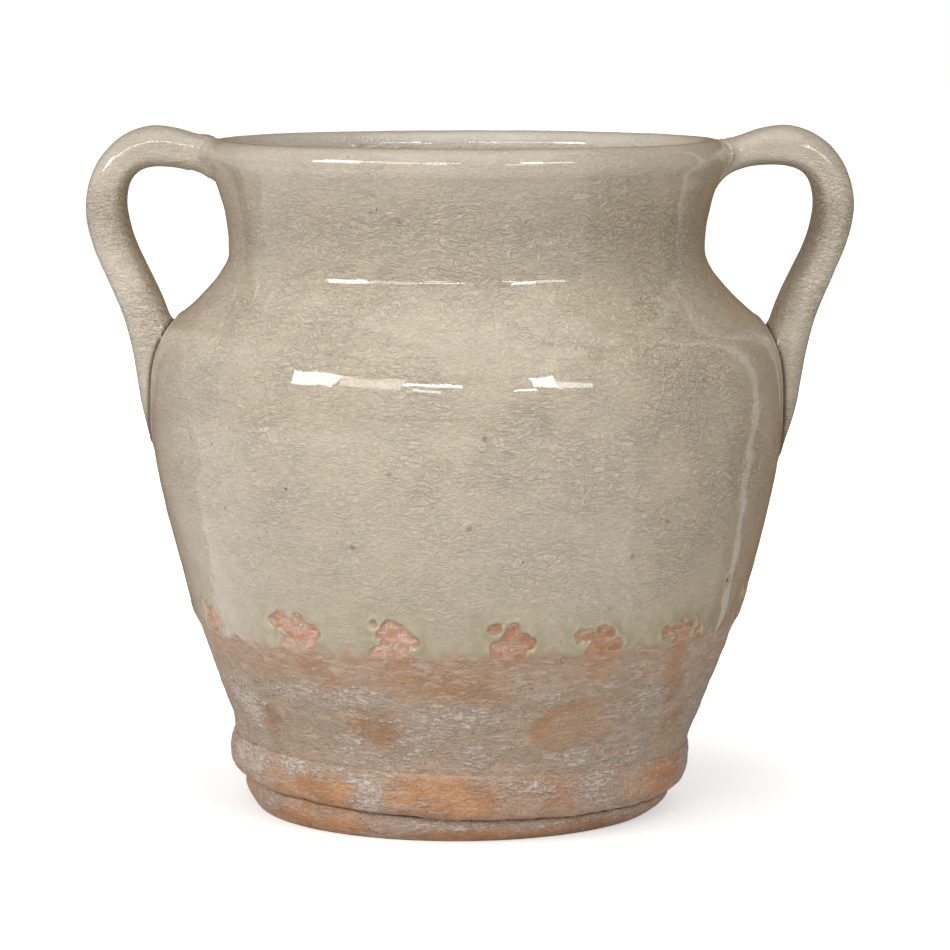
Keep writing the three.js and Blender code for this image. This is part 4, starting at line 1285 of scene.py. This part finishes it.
def floor_finish():
    """White paper: it keeps the pot's shadow, and away from the pot it is white all over."""
    finish = Finish("pale_floor")
    middle = finish.add("ShaderNodeVectorMath", {"operation": "LENGTH"}, {0: finish.place}, "Value")
    glow = finish.step(middle, 90, 300) * 0.52 + 0.48
    surface = finish.add("ShaderNodeBsdfPrincipled", {}, {
        "Base Color": (0.8, 0.8, 0.8, 1.0),
        "Roughness": 0.9,
        "Specular IOR Level": 0.0,
        "Emission Color": finish.mix(glow * background_rays(finish.add), (0, 0, 0, 1), (1, 1, 1, 1)),
        "Emission Strength": 1.0,
    })
    return finish.show(surface)


# Studio
AMBIENT = 0.24
CARD_REACH = 0.7
CARD_FOOT = 0.14
CARD_TOP = 1.5
CARD_TONES = [
    (56, 1.0), (66, 0.62), (78, 0.34), (90, 0.24), (99, 0.3), (104, 0.1), (106, 0.0), (113, 0.0),
    (115, 0.75), (119, 0.75), (121, 0.03), (131, 0.02), (140, 0.03), (165, 0.03), (180, 0.03),
    (195, 0.06), (207, 0.12), (219, 0.24), (231, 0.46), (242, 0.75), (252, 1.0),
]


def add_camera():
    """The photographed view: level with the rim's upper half, looking down a little."""
    camera = bpy.data.cameras.new("view")
    camera.lens = 148.85
    camera.sensor_width = 36
    camera.clip_end = 50
    holder = bpy.data.objects.new("view", camera)
    holder.location = (2.0 * MM, -1560 * MM, 325 * MM)
    holder.rotation_euler = (math.radians(90 - 7.05), 0, 0)
    bpy.context.scene.collection.objects.link(holder)
    bpy.context.scene.camera = holder


def add_panel(name, azimuth, elevation, width, height, power, colour, distance=2.2, aim=(0, 0, 0.16)):
    """A soft panel lamp, aimed at the pot. Azimuth 0 is in front, positive to the right."""
    lamp = bpy.data.lights.new(name, "AREA")
    lamp.shape = "RECTANGLE"
    lamp.size, lamp.size_y = width, height
    lamp.energy = power
    lamp.color = colour
    holder = bpy.data.objects.new(name, lamp)
    a, e = math.radians(azimuth), math.radians(elevation)
    away = Vector((math.sin(a) * math.cos(e), -math.cos(a) * math.cos(e), math.sin(e)))
    holder.location = Vector(aim) + away * distance
    holder.rotation_euler = away.to_track_quat("Z", "Y").to_euler()
    bpy.context.scene.collection.objects.link(holder)


def add_card():
    """A curved card behind the pot that only its glaze sees, as a room's dark side with a window
    frame at the right. Card tones are degrees from the front and brightness there."""
    points, faces, tones = [], [], []
    for degrees, brightness in CARD_TONES:
        a = math.radians(degrees)
        for reach, z in ((CARD_FOOT, 0.002), (CARD_REACH, 0.002), (CARD_REACH, CARD_TOP)):
            points.append((reach * math.sin(a), -reach * math.cos(a), z))
            tones.append(brightness)
    for k in range(len(CARD_TONES) - 1):
        faces += [(3 * k + row, 3 * k + 3 + row, 3 * k + 4 + row, 3 * k + 1 + row) for row in (0, 1)]
    mesh = bpy.data.meshes.new("card")
    mesh.from_pydata(points, [], faces)
    mesh.attributes.new("tone", "FLOAT", "POINT").data.foreach_set("value", tones)
    finish = Finish("card")
    shade = finish.mix(finish.mask("tone"), tone(118, 88, 58), (1, 0.97, 0.92, 1))
    mesh.materials.append(finish.show(finish.add("ShaderNodeEmission", {}, {"Color": shade})))
    card = bpy.data.objects.new("card", mesh)
    card.visible_camera = card.visible_diffuse = card.visible_shadow = False
    bpy.context.scene.collection.objects.link(card)


def add_studio():
    for name, azimuth, elevation, width, height, power, colour in (
        ("panel_far_left", -60, 28, 0.70, 0.42, 13.0, (1.0, 0.99, 0.98)),
        ("panel_left", -37, 29.5, 0.82, 0.36, 5.8, (1.0, 0.88, 0.84)),
        ("panel_middle", -13.5, 30, 0.76, 0.10, 4.6, (1.0, 0.98, 0.96)),
        ("panel_middle_low", -14.5, 24, 0.40, 0.10, 1.3, (1.0, 0.98, 0.96)),
        ("panel_right_low", 21, 24, 0.30, 0.09, 1.5, (1.0, 0.98, 0.96)),
        ("panel_right", 28, 31, 0.28, 0.34, 4.6, (1.0, 0.98, 0.96)),
        ("panel_far_right", 40, 28, 0.56, 0.24, 3.6, (1.0, 0.98, 0.96)),
    ):
        add_panel(name, azimuth, elevation, width, height, power, colour)
    add_panel("panel_above", 5, 68, 2.2, 2.2, 14.5, (1.0, 0.99, 0.98))
    add_panel("panel_front", -12, 18, 2.6, 1.6, 6, (1.0, 0.99, 0.98), distance=3.4)
    add_panel("panel_back", 172, 30, 2.0, 1.6, 11, (1.0, 0.98, 0.96), distance=2.8)
    add_card()
    mesh = bpy.data.meshes.new("floor")
    reach = 12.0
    mesh.from_pydata([(-reach, -reach, 0), (reach, -reach, 0), (reach, reach, 0), (-reach, reach, 0)], [], [(0, 1, 2, 3)])
    mesh.materials.append(floor_finish())
    floor = bpy.data.objects.new("floor", mesh)
    bpy.context.scene.collection.objects.link(floor)

    world = bpy.data.worlds.new("studio")
    world.use_nodes = True
    air = Finish("", world.node_tree)
    strength = background_rays(air.add) * (1 - AMBIENT) + AMBIENT
    sky = air.add("ShaderNodeBackground", {}, {"Color": (1, 1, 1, 1), "Strength": strength})
    air.add("ShaderNodeOutputWorld", {}, {"Surface": sky})
    bpy.context.scene.world = world
    bpy.context.scene.view_settings.view_transform = "Standard"


add_camera()
add_studio()
glaze = glaze_finish()
bare_clay = clay_finish("bare_clay", 0.0)
bead_clay = clay_finish("bead_clay", 0.22)

_, right_cloud = make_handle("right_handle", "handle_right", 1, 13, 0.92, 41, glaze)
_, left_cloud = make_handle("left_handle", "handle_left", -1, 3, 1.0, 51, glaze)
make_glaze(glaze, hem_finish(), [(1, right_cloud), (-1, left_cloud)])
make_clay_wall(bare_clay)
make_neck_clay(bare_clay)
make_floor_disc(bare_clay)
make_bead("heel_roll", "heel_coil", coil_profile(), 720, 61, bead_clay, coil_tilt)
make_bead("foot_band", "foot_ring", foot_profile(), 720, 65, bead_clay, foot_tilt)
make_crumbs(bare_clay)
